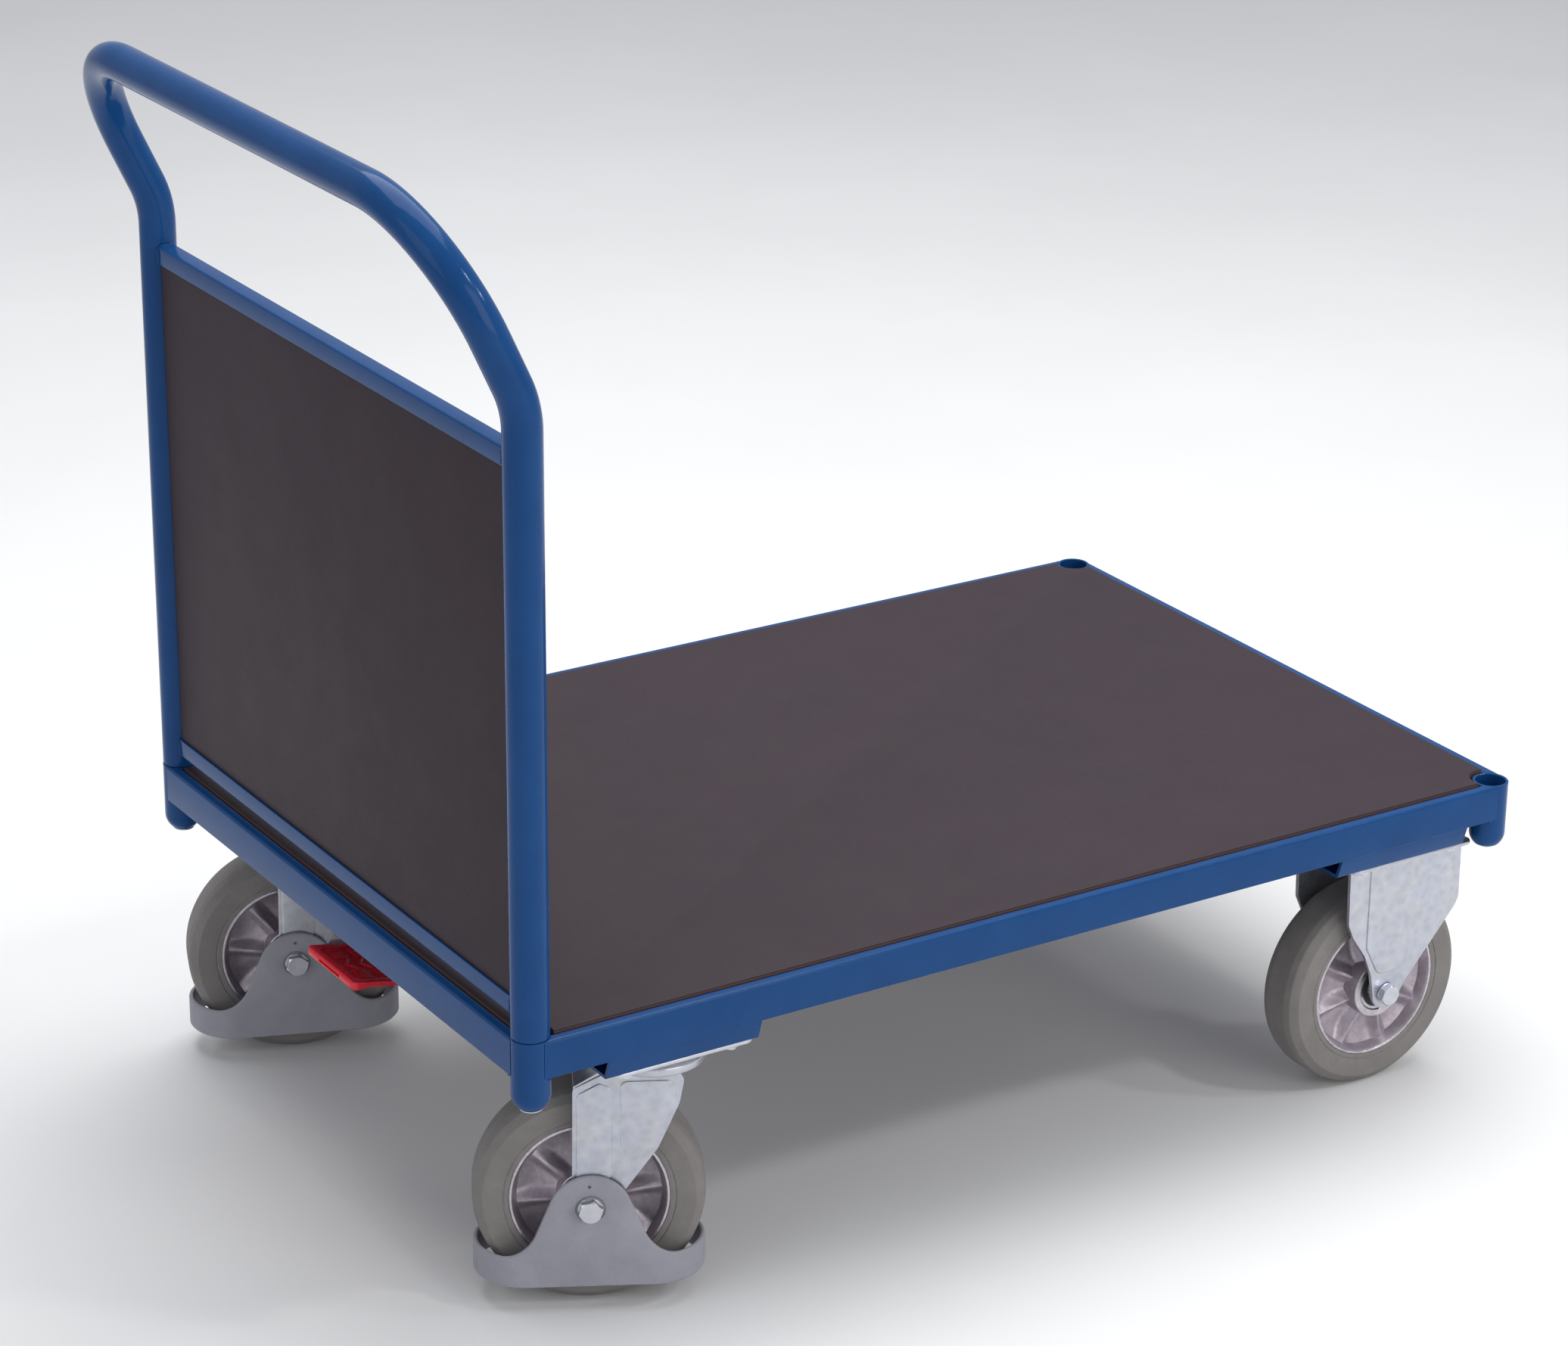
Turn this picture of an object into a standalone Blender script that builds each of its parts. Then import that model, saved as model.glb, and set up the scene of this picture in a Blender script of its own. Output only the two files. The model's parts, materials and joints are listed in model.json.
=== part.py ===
"""Platform trolley with a panelled push handle, two swivel casters, two fixed casters and a central brake.

Units are metres. +Z is up, +X points to the open front end and the handle stands at the -X end.
The left side is +Y for a person at the handle. The origin is on the floor, under the middle of the
trolley's bounding box at rest.
"""

import math

import bmesh
import bpy
from mathutils import Vector

# Clearances
GAP = 0.0003
RUNNING_GAP = 0.0005

# Platform frame
LENGTH = 1.058
WIDTH = 0.700
RIM_Z = 0.2985
SKIRT_Z = 0.2645
SHEET = 0.0025
LIP = 0.0112
LEDGE = 0.0215
DECK_THICKNESS = 0.015
DECK_TOP_Z = 0.301
DECK_BOTTOM_Z = DECK_TOP_Z - DECK_THICKNESS
DECK_NOTCH_RADIUS = 0.0195

# Corner sockets
SOCKET_RADIUS = 0.01685
SOCKET_BORE = 0.0142
SOCKET_FLOOR_Z = 0.2490
SOCKET_DOME = ((SOCKET_RADIUS, 0.2470), (0.0155, 0.2400), (0.0118, 0.2352))
SOCKET_SEAT_Z = 0.2352
SOCKET_DOME_Z = 0.2315
SOCKET_X = LENGTH / 2 - SOCKET_RADIUS
SOCKET_Y = WIDTH / 2 - SOCKET_RADIUS

# Push handle and its panel
TUBE_RADIUS = 0.0165
TUBE_BORE = 0.0142
HANDLE_FOOT_Z = RIM_Z + GAP
KINK_Z = 0.840
KINK_RADIUS = 0.093
LEAN = math.radians(25.0)
LEAN_LENGTH = 0.174
CORNER_RADIUS = 0.110
GRIP_X = -SOCKET_X - LEAN_LENGTH * math.sin(LEAN)
GRIP_Z = KINK_Z + LEAN_LENGTH * math.cos(LEAN)
CHANNEL_DEPTH = 0.0165
CHANNEL_HEIGHT = 0.0165
CHANNEL_WALL = 0.002
TOP_CHANNEL_Z = 0.7870
BOTTOM_CHANNEL_Z = 0.3122
PANEL_THICKNESS = 0.012
SCREW_RADIUS = 0.004

# Casters
CASTER_HEIGHT = 0.244
PLATE = (0.140, 0.110, 0.004)
PLATE_BOTTOM_Z = CASTER_HEIGHT - PLATE[2]
SWIVEL_X = -0.367
FIXED_AXLE_X = 0.409
FIXED_PLATE_SHIFT = 0.0125
CASTER_Y = 0.284
TRAIL = 0.055
HEADING = {"right": math.radians(-27.9), "left": math.radians(-21.0)}
CROWN_TOP_Z = 0.2347
CROWN_SHEET = 0.004
CROWN_RADIUS = 0.046
KINGPIN_RADIUS = 0.0095
KINGPIN_BORE = 0.0048
CHEEK_INNER = 0.036
CHEEK_OUTER = 0.040
AXLE_BOSS = 0.0155
BOLT_RADIUS = 0.0058
HEX_RADIUS = 0.0110
HEX_HEIGHT = 0.0080
NUT_HEIGHT = 0.0095
BOLT_END = 0.0125
RACE_RADII = (0.026, 0.043)
FLANGE_RADIUS = 0.0150
FLANGE_HEIGHT = 0.004

# Caster pans under the frame
PAN_SHEET = 0.003
PAN_LENGTH = 0.148
PAN_X = {"rear": -0.3715, "front": 0.401}
PAN_OUTER_TOP = 0.348
PAN_OUTER_BOTTOM = 0.3415
PAN_INNER = 0.2265
PAN_OPENING = 0.022

# Wheels
WHEEL_RADIUS = 0.100
TYRE_HALF = 0.025
SHOULDER_RADIUS = 0.0915
TREAD_EDGE = 0.0982
TREAD_EDGE_HALF = 0.0190
TREAD_HALF = 0.0120
RIM_RADIUS = 0.0689
RIM_HALF = 0.0235
LIP_INNER = 0.065
WEB_OUTER = 0.062
WEB_INNER = 0.030
WEB_HALF = 0.010
HUB_RADIUS = 0.028
HUB_HALF = 0.0295
HUB_BORE = 0.0214
BEARING_RADIUS = 0.0208
SPACER_RADIUS = 0.0100
SPACER_HALF = CHEEK_INNER - GAP
BEARING_NEAR = 0.0165
BEARING_FAR = 0.0285

# Foot guards
GUARD_HALF_LENGTH = 0.100
GUARD_HALF_WIDTH = 0.045
GUARD_WALL = 0.004
GUARD_BOTTOM_Z = 0.025
GUARD_BAND_Z = 0.053
GUARD_DOME = 0.036
GUARD_DOME_SINK = 0.005
GUARD_FLANK = math.radians(68.0)
GUARD_FILLET = 0.036

# Central brake
SHAFT_RADIUS = 0.006
SHAFT_Z = 0.262
CAM_REACH = 0.015
SHAFT_X = SWIVEL_X + CAM_REACH
NOSE_RADIUS = 0.003
NOSE_Z = 0.2565
PLUNGER_TOP_Z = NOSE_Z - NOSE_RADIUS - RUNNING_GAP
PLUNGER_RADIUS = 0.004
BRACKET_HALF = 0.030
PEDAL_FREE_X = -0.5292
PEDAL_LENGTH = 0.086
PEDAL_WIDTH = 0.090
PEDAL_TOP_Z = 0.2305
PEDAL_SLOPE = 0.19
PEDAL_SHEET = 0.0045
PEDAL_LIP = 0.0115
PEDAL_LIP_Z = 0.2222
PEDAL_CORNER = 0.007
TREAD_DEPTH = 0.0016
TREAD_MARGIN = 0.008

# Round pieces: steps round a full turn
WHEEL_STEPS = 24
CROWN_STEPS = 20
SOCKET_STEPS = 16
SMALL_STEPS = 16
BEARING_STEPS = 12

# The middle of the bounding box, measured from the middle of the frame
GUARD_AXLE_Y = CASTER_Y - TRAIL * math.sin(HEADING["left"])
GUARD_STRAIGHT = GUARD_HALF_LENGTH - GUARD_HALF_WIDTH
LEFT_REACH = GUARD_AXLE_Y - GUARD_STRAIGHT * math.sin(HEADING["left"]) + GUARD_HALF_WIDTH
REAR_REACH = -GRIP_X + TUBE_RADIUS
FRAME_X = (REAR_REACH - LENGTH / 2) / 2
FRAME_Y = (WIDTH / 2 - LEFT_REACH) / 2

SIDES = {"left": 1.0, "right": -1.0}
ENDS = {"front": 1.0, "rear": -1.0}


# ---------------------------------------------------------------- scene and materials


def empty_scene():
    for obj in list(bpy.data.objects):
        bpy.data.objects.remove(obj, do_unlink=True)


def new_collection(name):
    collection = bpy.data.collections.new(name)
    bpy.context.scene.collection.children.link(collection)
    return collection


def finish_of(name, colour, roughness, metallic):
    """A material for one piece, from its colour, roughness and metallic value."""
    material = bpy.data.materials.new(name)
    material.use_nodes = True
    shader = material.node_tree.nodes["Principled BSDF"]
    shader.inputs["Base Color"].default_value = (*colour, 1.0)
    shader.inputs["Roughness"].default_value = roughness
    shader.inputs["Metallic"].default_value = metallic
    return material


FINISHES = {
    "blue_paint": ((0.015, 0.065, 0.200), 0.35, 0.0),
    "ply_film": ((0.055, 0.040, 0.046), 0.60, 0.0),
    "zinc": ((0.60, 0.62, 0.66), 0.35, 1.0),
    "cast_aluminium": ((0.50, 0.46, 0.50), 0.40, 1.0),
    "grey_rubber": ((0.17, 0.16, 0.15), 0.75, 0.0),
    "grey_plastic": ((0.22, 0.22, 0.26), 0.50, 0.0),
    "red_plastic": ((0.60, 0.010, 0.014), 0.35, 0.0),
    "bearing_steel": ((0.40, 0.40, 0.42), 0.30, 1.0),
}

empty_scene()
PARTS = new_collection("platform_trolley")
CUTTERS = new_collection("cutters")


# ---------------------------------------------------------------- modelling tools


def locator(name, location, parent=None, turn=0.0):
    """An empty that carries pieces; a moving piece's empty lies on its joint axis."""
    empty = bpy.data.objects.new(name, None)
    PARTS.objects.link(empty)
    empty.location = location
    empty.rotation_euler = (0.0, 0.0, turn)
    empty.parent = parent
    return empty


def add_object(name, data, parent, location=(0.0, 0.0, 0.0), rotation=(0.0, 0.0, 0.0)):
    obj = bpy.data.objects.new(name, data)
    PARTS.objects.link(obj)
    obj.location = location
    obj.rotation_euler = rotation
    obj.parent = parent
    return obj


def make_part(obj, finish, smooth=False):
    """Names the finish of a piece and shades a round piece smooth."""
    colour, roughness, metallic = FINISHES[finish]
    obj.data.materials.clear()
    obj.data.materials.append(finish_of(obj.name, colour, roughness, metallic))
    if smooth:
        obj.data.shade_smooth()
        obj.data.set_sharp_from_angle(angle=math.radians(35.0))
    return obj


def make_cutter(obj):
    """Hides a shape that only cuts or joins another one."""
    PARTS.objects.unlink(obj)
    CUTTERS.objects.link(obj)
    obj.hide_render = True
    obj.display_type = "WIRE"
    return obj


def block(name, low, high, parent):
    """A box between two corners."""
    mesh = bpy.data.meshes.new(name)
    shape = bmesh.new()
    bmesh.ops.create_cube(shape, size=1.0)
    low, high = Vector(low), Vector(high)
    size = high - low
    for vert in shape.verts:
        vert.co = low + size / 2 + Vector(a * b for a, b in zip(vert.co, size))
    shape.to_mesh(mesh)
    shape.free()
    return add_object(name, mesh, parent)


def rod(name, radius, low, high, parent, location=(0.0, 0.0, 0.0), axis="Z", sides=SMALL_STEPS):
    """A straight round or polygonal bar from low to high along one axis."""
    mesh = bpy.data.meshes.new(name)
    shape = bmesh.new()
    bmesh.ops.create_cone(
        shape, cap_ends=True, segments=sides, radius1=radius, radius2=radius, depth=high - low
    )
    for vert in shape.verts:
        vert.co.z += (low + high) / 2
    shape.to_mesh(mesh)
    shape.free()
    turns = {"X": (0.0, math.pi / 2, 0.0), "Y": (-math.pi / 2, 0.0, 0.0), "Z": (0.0, 0.0, 0.0)}
    return add_object(name, mesh, parent, location, turns[axis])


def turned(name, profile, steps, parent, location=(0.0, 0.0, 0.0), rotation=(0.0, 0.0, 0.0)):
    """A profile of (radius, height) points, run down its outer side, turned about Z.

    It closes on itself, or on the axis where its first and last points lie there.
    """
    mesh = bpy.data.meshes.new(name)
    edges = [(i, i + 1) for i in range(len(profile) - 1)]
    if profile[0][0] > 0.0 or profile[-1][0] > 0.0:
        edges.append((len(profile) - 1, 0))
    mesh.from_pydata([(r, 0.0, z) for r, z in profile], edges, [])
    obj = add_object(name, mesh, parent, location, rotation)
    screw = obj.modifiers.new("Turn", "SCREW")
    screw.axis = "Z"
    screw.steps = steps
    screw.render_steps = steps
    screw.use_merge_vertices = True
    screw.merge_threshold = 0.00001
    return obj


def as_mesh(obj):
    """Makes a curve a closed mesh, so that it can be cut or joined."""
    bpy.context.view_layer.update()
    evaluated = obj.evaluated_get(bpy.context.evaluated_depsgraph_get())
    mesh = bpy.data.meshes.new_from_object(evaluated)
    shape = bmesh.new()
    shape.from_mesh(mesh)
    bmesh.ops.remove_doubles(shape, verts=shape.verts, dist=0.00001)
    bmesh.ops.recalc_face_normals(shape, faces=shape.faces)
    shape.to_mesh(mesh)
    shape.free()
    name, parent, basis = obj.name, obj.parent, obj.matrix_basis.copy()
    bpy.data.objects.remove(obj, do_unlink=True)
    result = add_object(name, mesh, parent)
    result.matrix_basis = basis
    return result


def flat(name, outlines, low, high, parent, plane="XY", location=(0.0, 0.0, 0.0)):
    """A plate with the given outline, and holes where more outlines follow, from low to high.

    plane "XY" is a level plate along Z. plane "XZ" is an upright one, with low and high along Y,
    and plane "YZ" is an upright one with low and high along X.
    """
    curve = bpy.data.curves.new(name, "CURVE")
    curve.dimensions = "2D"
    curve.fill_mode = "BOTH"
    curve.extrude = (high - low) / 2
    for outline in outlines:
        spline = curve.splines.new("POLY")
        spline.points.add(len(outline) - 1)
        for point, (u, v) in zip(spline.points, outline):
            point.co = (u, v, 0.0, 1.0)
        spline.use_cyclic_u = True
    middle = (low + high) / 2
    shifts = {"XY": (0.0, 0.0, middle), "XZ": (0.0, middle, 0.0), "YZ": (middle, 0.0, 0.0)}
    turns = {
        "XY": (0.0, 0.0, 0.0),
        "XZ": (math.pi / 2, 0.0, 0.0),
        "YZ": (math.pi / 2, 0.0, math.pi / 2),
    }
    place = Vector(location) + Vector(shifts[plane])
    return as_mesh(add_object(name, curve, parent, place, turns[plane]))


def tube(name, points, radius, sides, parent):
    """A round bar along a smooth route of points."""
    curve = bpy.data.curves.new(name, "CURVE")
    curve.dimensions = "3D"
    curve.bevel_depth = radius
    curve.bevel_resolution = sides // 2 - 2
    curve.use_fill_caps = True
    spline = curve.splines.new("POLY")
    spline.points.add(len(points) - 1)
    for point, place in zip(spline.points, points):
        point.co = (*place, 1.0)
    return as_mesh(add_object(name, curve, parent))


def combine(obj, tools, operation):
    """Cuts the tools out of a piece, joins them to it, or keeps what they share."""
    for tool in tools:
        make_cutter(tool)
        step = obj.modifiers.new(operation.title(), "BOOLEAN")
        step.operation = operation
        step.object = tool
        step.solver = "EXACT"
    return obj


def arc(centre, radius, start, end, steps):
    """Points on an arc, from start to end in degrees."""
    angles = [math.radians(start + (end - start) * i / steps) for i in range(steps + 1)]
    return [(centre[0] + radius * math.cos(a), centre[1] + radius * math.sin(a)) for a in angles]


def circle(centre, radius, steps=SMALL_STEPS):
    return arc(centre, radius, 0.0, 360.0, steps)[:-1]


def rounded_box(low, high, radius, steps=4):
    """A rectangle with round corners, between two corners."""
    (x0, y0), (x1, y1) = low, high
    return (
        arc((x1 - radius, y0 + radius), radius, -90.0, 0.0, steps)
        + arc((x1 - radius, y1 - radius), radius, 0.0, 90.0, steps)
        + arc((x0 + radius, y1 - radius), radius, 90.0, 180.0, steps)
        + arc((x0 + radius, y0 + radius), radius, 180.0, 270.0, steps)
    )


def rounded_route(corners, radii, steps):
    """A route through corners in space, each corner but the ends rounded to its radius."""
    corners = [Vector(corner) for corner in corners]
    route = [corners[0]]
    for before, corner, after, radius in zip(corners, corners[1:], corners[2:], radii):
        back = (before - corner).normalized()
        ahead = (after - corner).normalized()
        half_angle = back.angle(ahead) / 2
        middle = corner + (back + ahead).normalized() * (radius / math.sin(half_angle))
        start = (corner + back * (radius / math.tan(half_angle)) - middle).normalized()
        end = (corner + ahead * (radius / math.tan(half_angle)) - middle).normalized()
        for i in range(steps + 1):
            route.append(middle + start.slerp(end, i / steps) * radius)
    route.append(corners[-1])
    return route


# ---------------------------------------------------------------- platform


def corner_tools(end, side, parent):
    """The room that two rails leave at a corner for its socket; their lips run on up to it."""
    sx, sy = ENDS[end], SIDES[side]
    inner = SOCKET_RADIUS + 0.003
    xs = sorted((sx * (SOCKET_X - inner), sx * (LENGTH / 2 - SHEET - GAP)))
    ys = sorted((sy * (SOCKET_Y - inner), sy * (WIDTH / 2 - SHEET - GAP)))
    low = (xs[0], ys[0], SKIRT_Z - 0.010)
    high = (xs[1], ys[1], RIM_Z - SHEET - GAP)
    room = block("corner_room", low, high, parent)
    place = (sx * SOCKET_X, sy * SOCKET_Y, 0.0)
    bore = rod(
        "corner_bore", SOCKET_RADIUS + GAP, SKIRT_Z - 0.010, RIM_Z + 0.010, parent, place, "Z", 24
    )
    return [room, bore]


def rail_section():
    """The folded rail: outer skirt, top lip, step down and the ledge that carries the deck."""
    ledge_z = DECK_BOTTOM_Z - GAP
    return [
        (0.0, SKIRT_Z),
        (0.0, RIM_Z),
        (LIP, RIM_Z),
        (LIP, ledge_z),
        (LIP + LEDGE, ledge_z),
        (LIP + LEDGE, ledge_z - SHEET),
        (LIP - SHEET, ledge_z - SHEET),
        (LIP - SHEET, RIM_Z - SHEET),
        (SHEET, RIM_Z - SHEET),
        (SHEET, SKIRT_Z),
    ]


def side_rail(side, parent):
    sy = SIDES[side]
    section = [(sy * (WIDTH / 2 - inward), z) for inward, z in rail_section()]
    half = SOCKET_X - 0.004
    rail = flat(f"side_rail_{side}", [section], -half, half, parent, "YZ")
    tools = corner_tools("front", side, parent) + corner_tools("rear", side, parent)
    return make_part(combine(rail, tools, "DIFFERENCE"), "blue_paint")


def end_rail(end, parent):
    sx = ENDS[end]
    section = [(sx * (LENGTH / 2 - inward), z) for inward, z in rail_section()]
    half = SOCKET_Y - 0.004
    rail = flat(f"end_rail_{end}", [section], -half, half, parent, "XZ")
    tools = corner_tools(end, "left", parent) + corner_tools(end, "right", parent)
    return make_part(combine(rail, tools, "DIFFERENCE"), "blue_paint")


def corner_socket(end, side, parent):
    """A pipe socket with a domed bottom; at the handle a screw comes up through the dome."""
    hole, floor_z = (0.0, SOCKET_FLOOR_Z)
    tip = [(0.0062, 0.2324), (0.0, SOCKET_DOME_Z)]
    if end == "rear":
        hole, floor_z = (SCREW_RADIUS + RUNNING_GAP, SOCKET_FLOOR_Z - 0.003)
        tip = [(hole, SOCKET_SEAT_Z)]
    wall = [(hole, floor_z), (SOCKET_BORE, floor_z), (SOCKET_BORE, RIM_Z), (SOCKET_RADIUS, RIM_Z)]
    profile = wall + list(SOCKET_DOME) + tip
    place = (ENDS[end] * SOCKET_X, SIDES[side] * SOCKET_Y, 0.0)
    socket = turned(f"corner_socket_{end}_{side}", profile, SOCKET_STEPS, parent, place)
    return make_part(socket, "blue_paint", smooth=True)


def deck_panel(parent):
    """Film-faced plywood with a round notch for each corner socket."""
    hx = LENGTH / 2 - LIP - GAP
    hy = WIDTH / 2 - LIP - GAP
    outline = []
    for sx, sy, start in ((1, 1, 0.0), (-1, 1, 90.0), (-1, -1, 180.0), (1, -1, 270.0)):
        over_x = math.degrees(math.asin((hx - SOCKET_X) / DECK_NOTCH_RADIUS))
        over_y = math.degrees(math.asin((hy - SOCKET_Y) / DECK_NOTCH_RADIUS))
        first, last = (over_x, over_y) if sx == sy else (over_y, over_x)
        centre = (sx * SOCKET_X, sy * SOCKET_Y)
        outline += arc(centre, DECK_NOTCH_RADIUS, start + 270.0 + first, start + 180.0 - last, 8)
    deck = flat("deck_panel", [outline], DECK_BOTTOM_Z, DECK_TOP_Z, parent)
    return make_part(deck, "ply_film")


def caster_pan(end, side, parent):
    """A folded steel pan welded under a side rail; a caster is bolted to its floor."""
    sy = SIDES[side]
    skirt_z, floor_z, deck_z = SKIRT_Z - GAP, CASTER_HEIGHT, DECK_BOTTOM_Z - 2 * GAP
    section = [
        (sy * PAN_OUTER_TOP, skirt_z),
        (sy * PAN_OUTER_BOTTOM, floor_z),
        (sy * PAN_INNER, floor_z),
        (sy * PAN_INNER, deck_z),
        (sy * (PAN_INNER + PAN_SHEET), deck_z),
        (sy * (PAN_INNER + PAN_SHEET), floor_z + PAN_SHEET),
        (sy * (PAN_OUTER_BOTTOM - PAN_SHEET), floor_z + PAN_SHEET),
        (sy * (PAN_OUTER_TOP - PAN_SHEET), skirt_z),
    ]
    x = PAN_X[end]
    name = f"caster_pan_{end}_{side}"
    pan = flat(name, [section], x - PAN_LENGTH / 2, x + PAN_LENGTH / 2, parent, "YZ")
    if end == "rear":
        kingpin_room = rod(
            "kingpin_room", PAN_OPENING, CASTER_HEIGHT - 0.005, CASTER_HEIGHT + 0.008,
            parent, (SWIVEL_X, sy * CASTER_Y, 0.0),
        )
        ys = sorted((sy * (PAN_INNER - 0.005), sy * (PAN_INNER + 0.008)))
        shaft_room = rod(
            "shaft_room", SHAFT_RADIUS + 0.0015, ys[0], ys[1], parent, (SHAFT_X, 0.0, SHAFT_Z), "Y"
        )
        combine(pan, [kingpin_room, shaft_room], "DIFFERENCE")
    return make_part(pan, "blue_paint")


# ---------------------------------------------------------------- push handle


def handle_plug(name, side, parent):
    """The turned-down end of the handle, which stands in its socket and takes the screw."""
    hole, foot_z = (SCREW_RADIUS + RUNNING_GAP, SOCKET_FLOOR_Z)
    root, top_z = (TUBE_BORE + 0.0008, RIM_Z + 0.030)
    profile = [
        (hole, top_z),
        (root, top_z),
        (root, HANDLE_FOOT_Z),
        (SOCKET_BORE - RUNNING_GAP, HANDLE_FOOT_Z),
        (SOCKET_BORE - RUNNING_GAP, foot_z),
        (hole, foot_z),
    ]
    return turned(name, profile, SMALL_STEPS, parent, (-SOCKET_X, SIDES[side] * SOCKET_Y, 0.0))


def push_handle(parent):
    """One bent tube: two upright legs that lean back above the panel, and the grip between them."""

    def route(foot_z):
        half = [
            (-SOCKET_X, -SOCKET_Y, foot_z),
            (-SOCKET_X, -SOCKET_Y, KINK_Z),
            (GRIP_X, -SOCKET_Y, GRIP_Z),
        ]
        corners = half + [(x, -y, z) for x, y, z in reversed(half)]
        radii = (KINK_RADIUS, CORNER_RADIUS, CORNER_RADIUS, KINK_RADIUS)
        return rounded_route(corners, radii, 6)

    handle = tube("push_handle", route(HANDLE_FOOT_Z), TUBE_RADIUS, 10, parent)
    bore = tube("handle_bore", route(HANDLE_FOOT_Z - 0.010), TUBE_BORE, 6, parent)
    combine(handle, [bore], "DIFFERENCE")
    plugs = [handle_plug(f"plug_{side}", side, parent) for side in SIDES]
    combine(handle, plugs, "UNION")
    return make_part(handle, "blue_paint", smooth=True)


def handle_screw(side, parent):
    """A countersunk machine screw that holds a handle leg from below."""
    seat_z = SOCKET_SEAT_Z - GAP
    tip_z = SOCKET_FLOOR_Z + 0.029
    profile = [
        (0.0, tip_z),
        (SCREW_RADIUS, tip_z),
        (SCREW_RADIUS, seat_z),
        (0.0100, seat_z),
        (0.0082, SOCKET_DOME_Z),
        (0.0, SOCKET_DOME_Z),
    ]
    place = (-SOCKET_X, SIDES[side] * SOCKET_Y, 0.0)
    return make_part(turned(f"handle_screw_{side}", profile, 12, parent, place), "zinc", smooth=True)


def panel_channel(name, low_z, opens, parent):
    """A U-channel between the handle legs; it opens up or down over the edge of the panel."""
    half = CHANNEL_DEPTH / 2
    web = low_z if opens == "up" else low_z + CHANNEL_HEIGHT
    lip = low_z + CHANNEL_HEIGHT if opens == "up" else low_z
    step = CHANNEL_WALL if opens == "up" else -CHANNEL_WALL
    section = [
        (-SOCKET_X - half, lip),
        (-SOCKET_X - half, web),
        (-SOCKET_X + half, web),
        (-SOCKET_X + half, lip),
        (-SOCKET_X + half - CHANNEL_WALL, lip),
        (-SOCKET_X + half - CHANNEL_WALL, web + step),
        (-SOCKET_X - half + CHANNEL_WALL, web + step),
        (-SOCKET_X - half + CHANNEL_WALL, lip),
    ]
    reach = SOCKET_Y - TUBE_RADIUS - GAP
    return make_part(flat(name, [section], -reach, reach, parent, "XZ"), "blue_paint")


def end_panel(parent):
    """Film-faced plywood that fills the space between the handle legs."""
    reach = SOCKET_Y - TUBE_RADIUS - 2 * GAP
    low = (-SOCKET_X - PANEL_THICKNESS / 2, -reach, BOTTOM_CHANNEL_Z + CHANNEL_WALL + GAP)
    top_z = TOP_CHANNEL_Z + CHANNEL_HEIGHT - CHANNEL_WALL - GAP
    high = (-SOCKET_X + PANEL_THICKNESS / 2, reach, top_z)
    return make_part(block("end_panel", low, high, parent), "ply_film")


# ---------------------------------------------------------------- wheels


def wheel(name, axle):
    """A tyre bonded to a cast rim; both turn about the axle, which lies along Y."""
    tyre_half = [
        (RIM_RADIUS + GAP, RIM_HALF),
        (SHOULDER_RADIUS, TYRE_HALF),
        (TREAD_EDGE, TREAD_EDGE_HALF),
        (WHEEL_RADIUS, TREAD_HALF),
    ]
    tyre_profile = tyre_half + [(r, -y) for r, y in reversed(tyre_half)]
    across = (-math.pi / 2, 0.0, 0.0)
    tyre = turned(f"{name}_tyre", tyre_profile, WHEEL_STEPS, axle, rotation=across)
    make_part(tyre, "grey_rubber", smooth=True)
    upper_half = [
        (HUB_BORE, HUB_HALF),
        (HUB_RADIUS, HUB_HALF),
        (WEB_INNER, WEB_HALF),
        (WEB_OUTER, WEB_HALF),
        (LIP_INNER, RIM_HALF),
        (RIM_RADIUS, RIM_HALF),
    ]
    profile = upper_half + [(r, -y) for r, y in reversed(upper_half)]
    rim = turned(f"{name}_rim", profile, WHEEL_STEPS, axle, rotation=across)
    make_part(rim, "cast_aluminium", smooth=True)


def axle_set(name, axle, face, cheek_face):
    """The bolt across the fork, its nut, and the two ball bearings on their spacer tube."""
    upper_half = [
        (BOLT_RADIUS + RUNNING_GAP, SPACER_HALF),
        (SPACER_RADIUS, SPACER_HALF),
        (SPACER_RADIUS, BEARING_FAR),
        (BEARING_RADIUS, BEARING_FAR),
        (BEARING_RADIUS, BEARING_NEAR),
        (SPACER_RADIUS, BEARING_NEAR),
    ]
    profile = upper_half + [(r, -y) for r, y in reversed(upper_half)]
    across = (-math.pi / 2, 0.0, 0.0)
    bearings = turned(f"{name}_bearings", profile, BEARING_STEPS, axle, rotation=across)
    make_part(bearings, "bearing_steel", smooth=True)
    seat = face + GAP
    shank_end = cheek_face + BOLT_END
    bolt = rod(f"{name}_axle_bolt", BOLT_RADIUS, -seat - 0.001, shank_end, axle, axis="Y", sides=12)
    head = rod("bolt_head", HEX_RADIUS, -seat - HEX_HEIGHT, -seat, axle, axis="Y", sides=6)
    make_part(combine(bolt, [head], "UNION"), "zinc")
    nut = rod(f"{name}_axle_nut", HEX_RADIUS, seat, seat + NUT_HEIGHT, axle, axis="Y", sides=6)
    hole = rod("nut_hole", BOLT_RADIUS + GAP, seat - 0.005, seat + 0.015, axle, axis="Y", sides=12)
    make_part(combine(nut, [hole], "DIFFERENCE"), "zinc")


# ---------------------------------------------------------------- casters


def fork_cheeks(outline, axle):
    """The two side plates of a fork, drilled for the axle bolt."""
    hole = circle((0.0, 0.0), BOLT_RADIUS + RUNNING_GAP, 12)
    shapes = []
    for low, high in ((-CHEEK_OUTER, -CHEEK_INNER), (CHEEK_INNER, CHEEK_OUTER)):
        shapes.append(flat("cheek", [outline, hole], low, high, axle, "XZ"))
    return shapes


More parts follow.
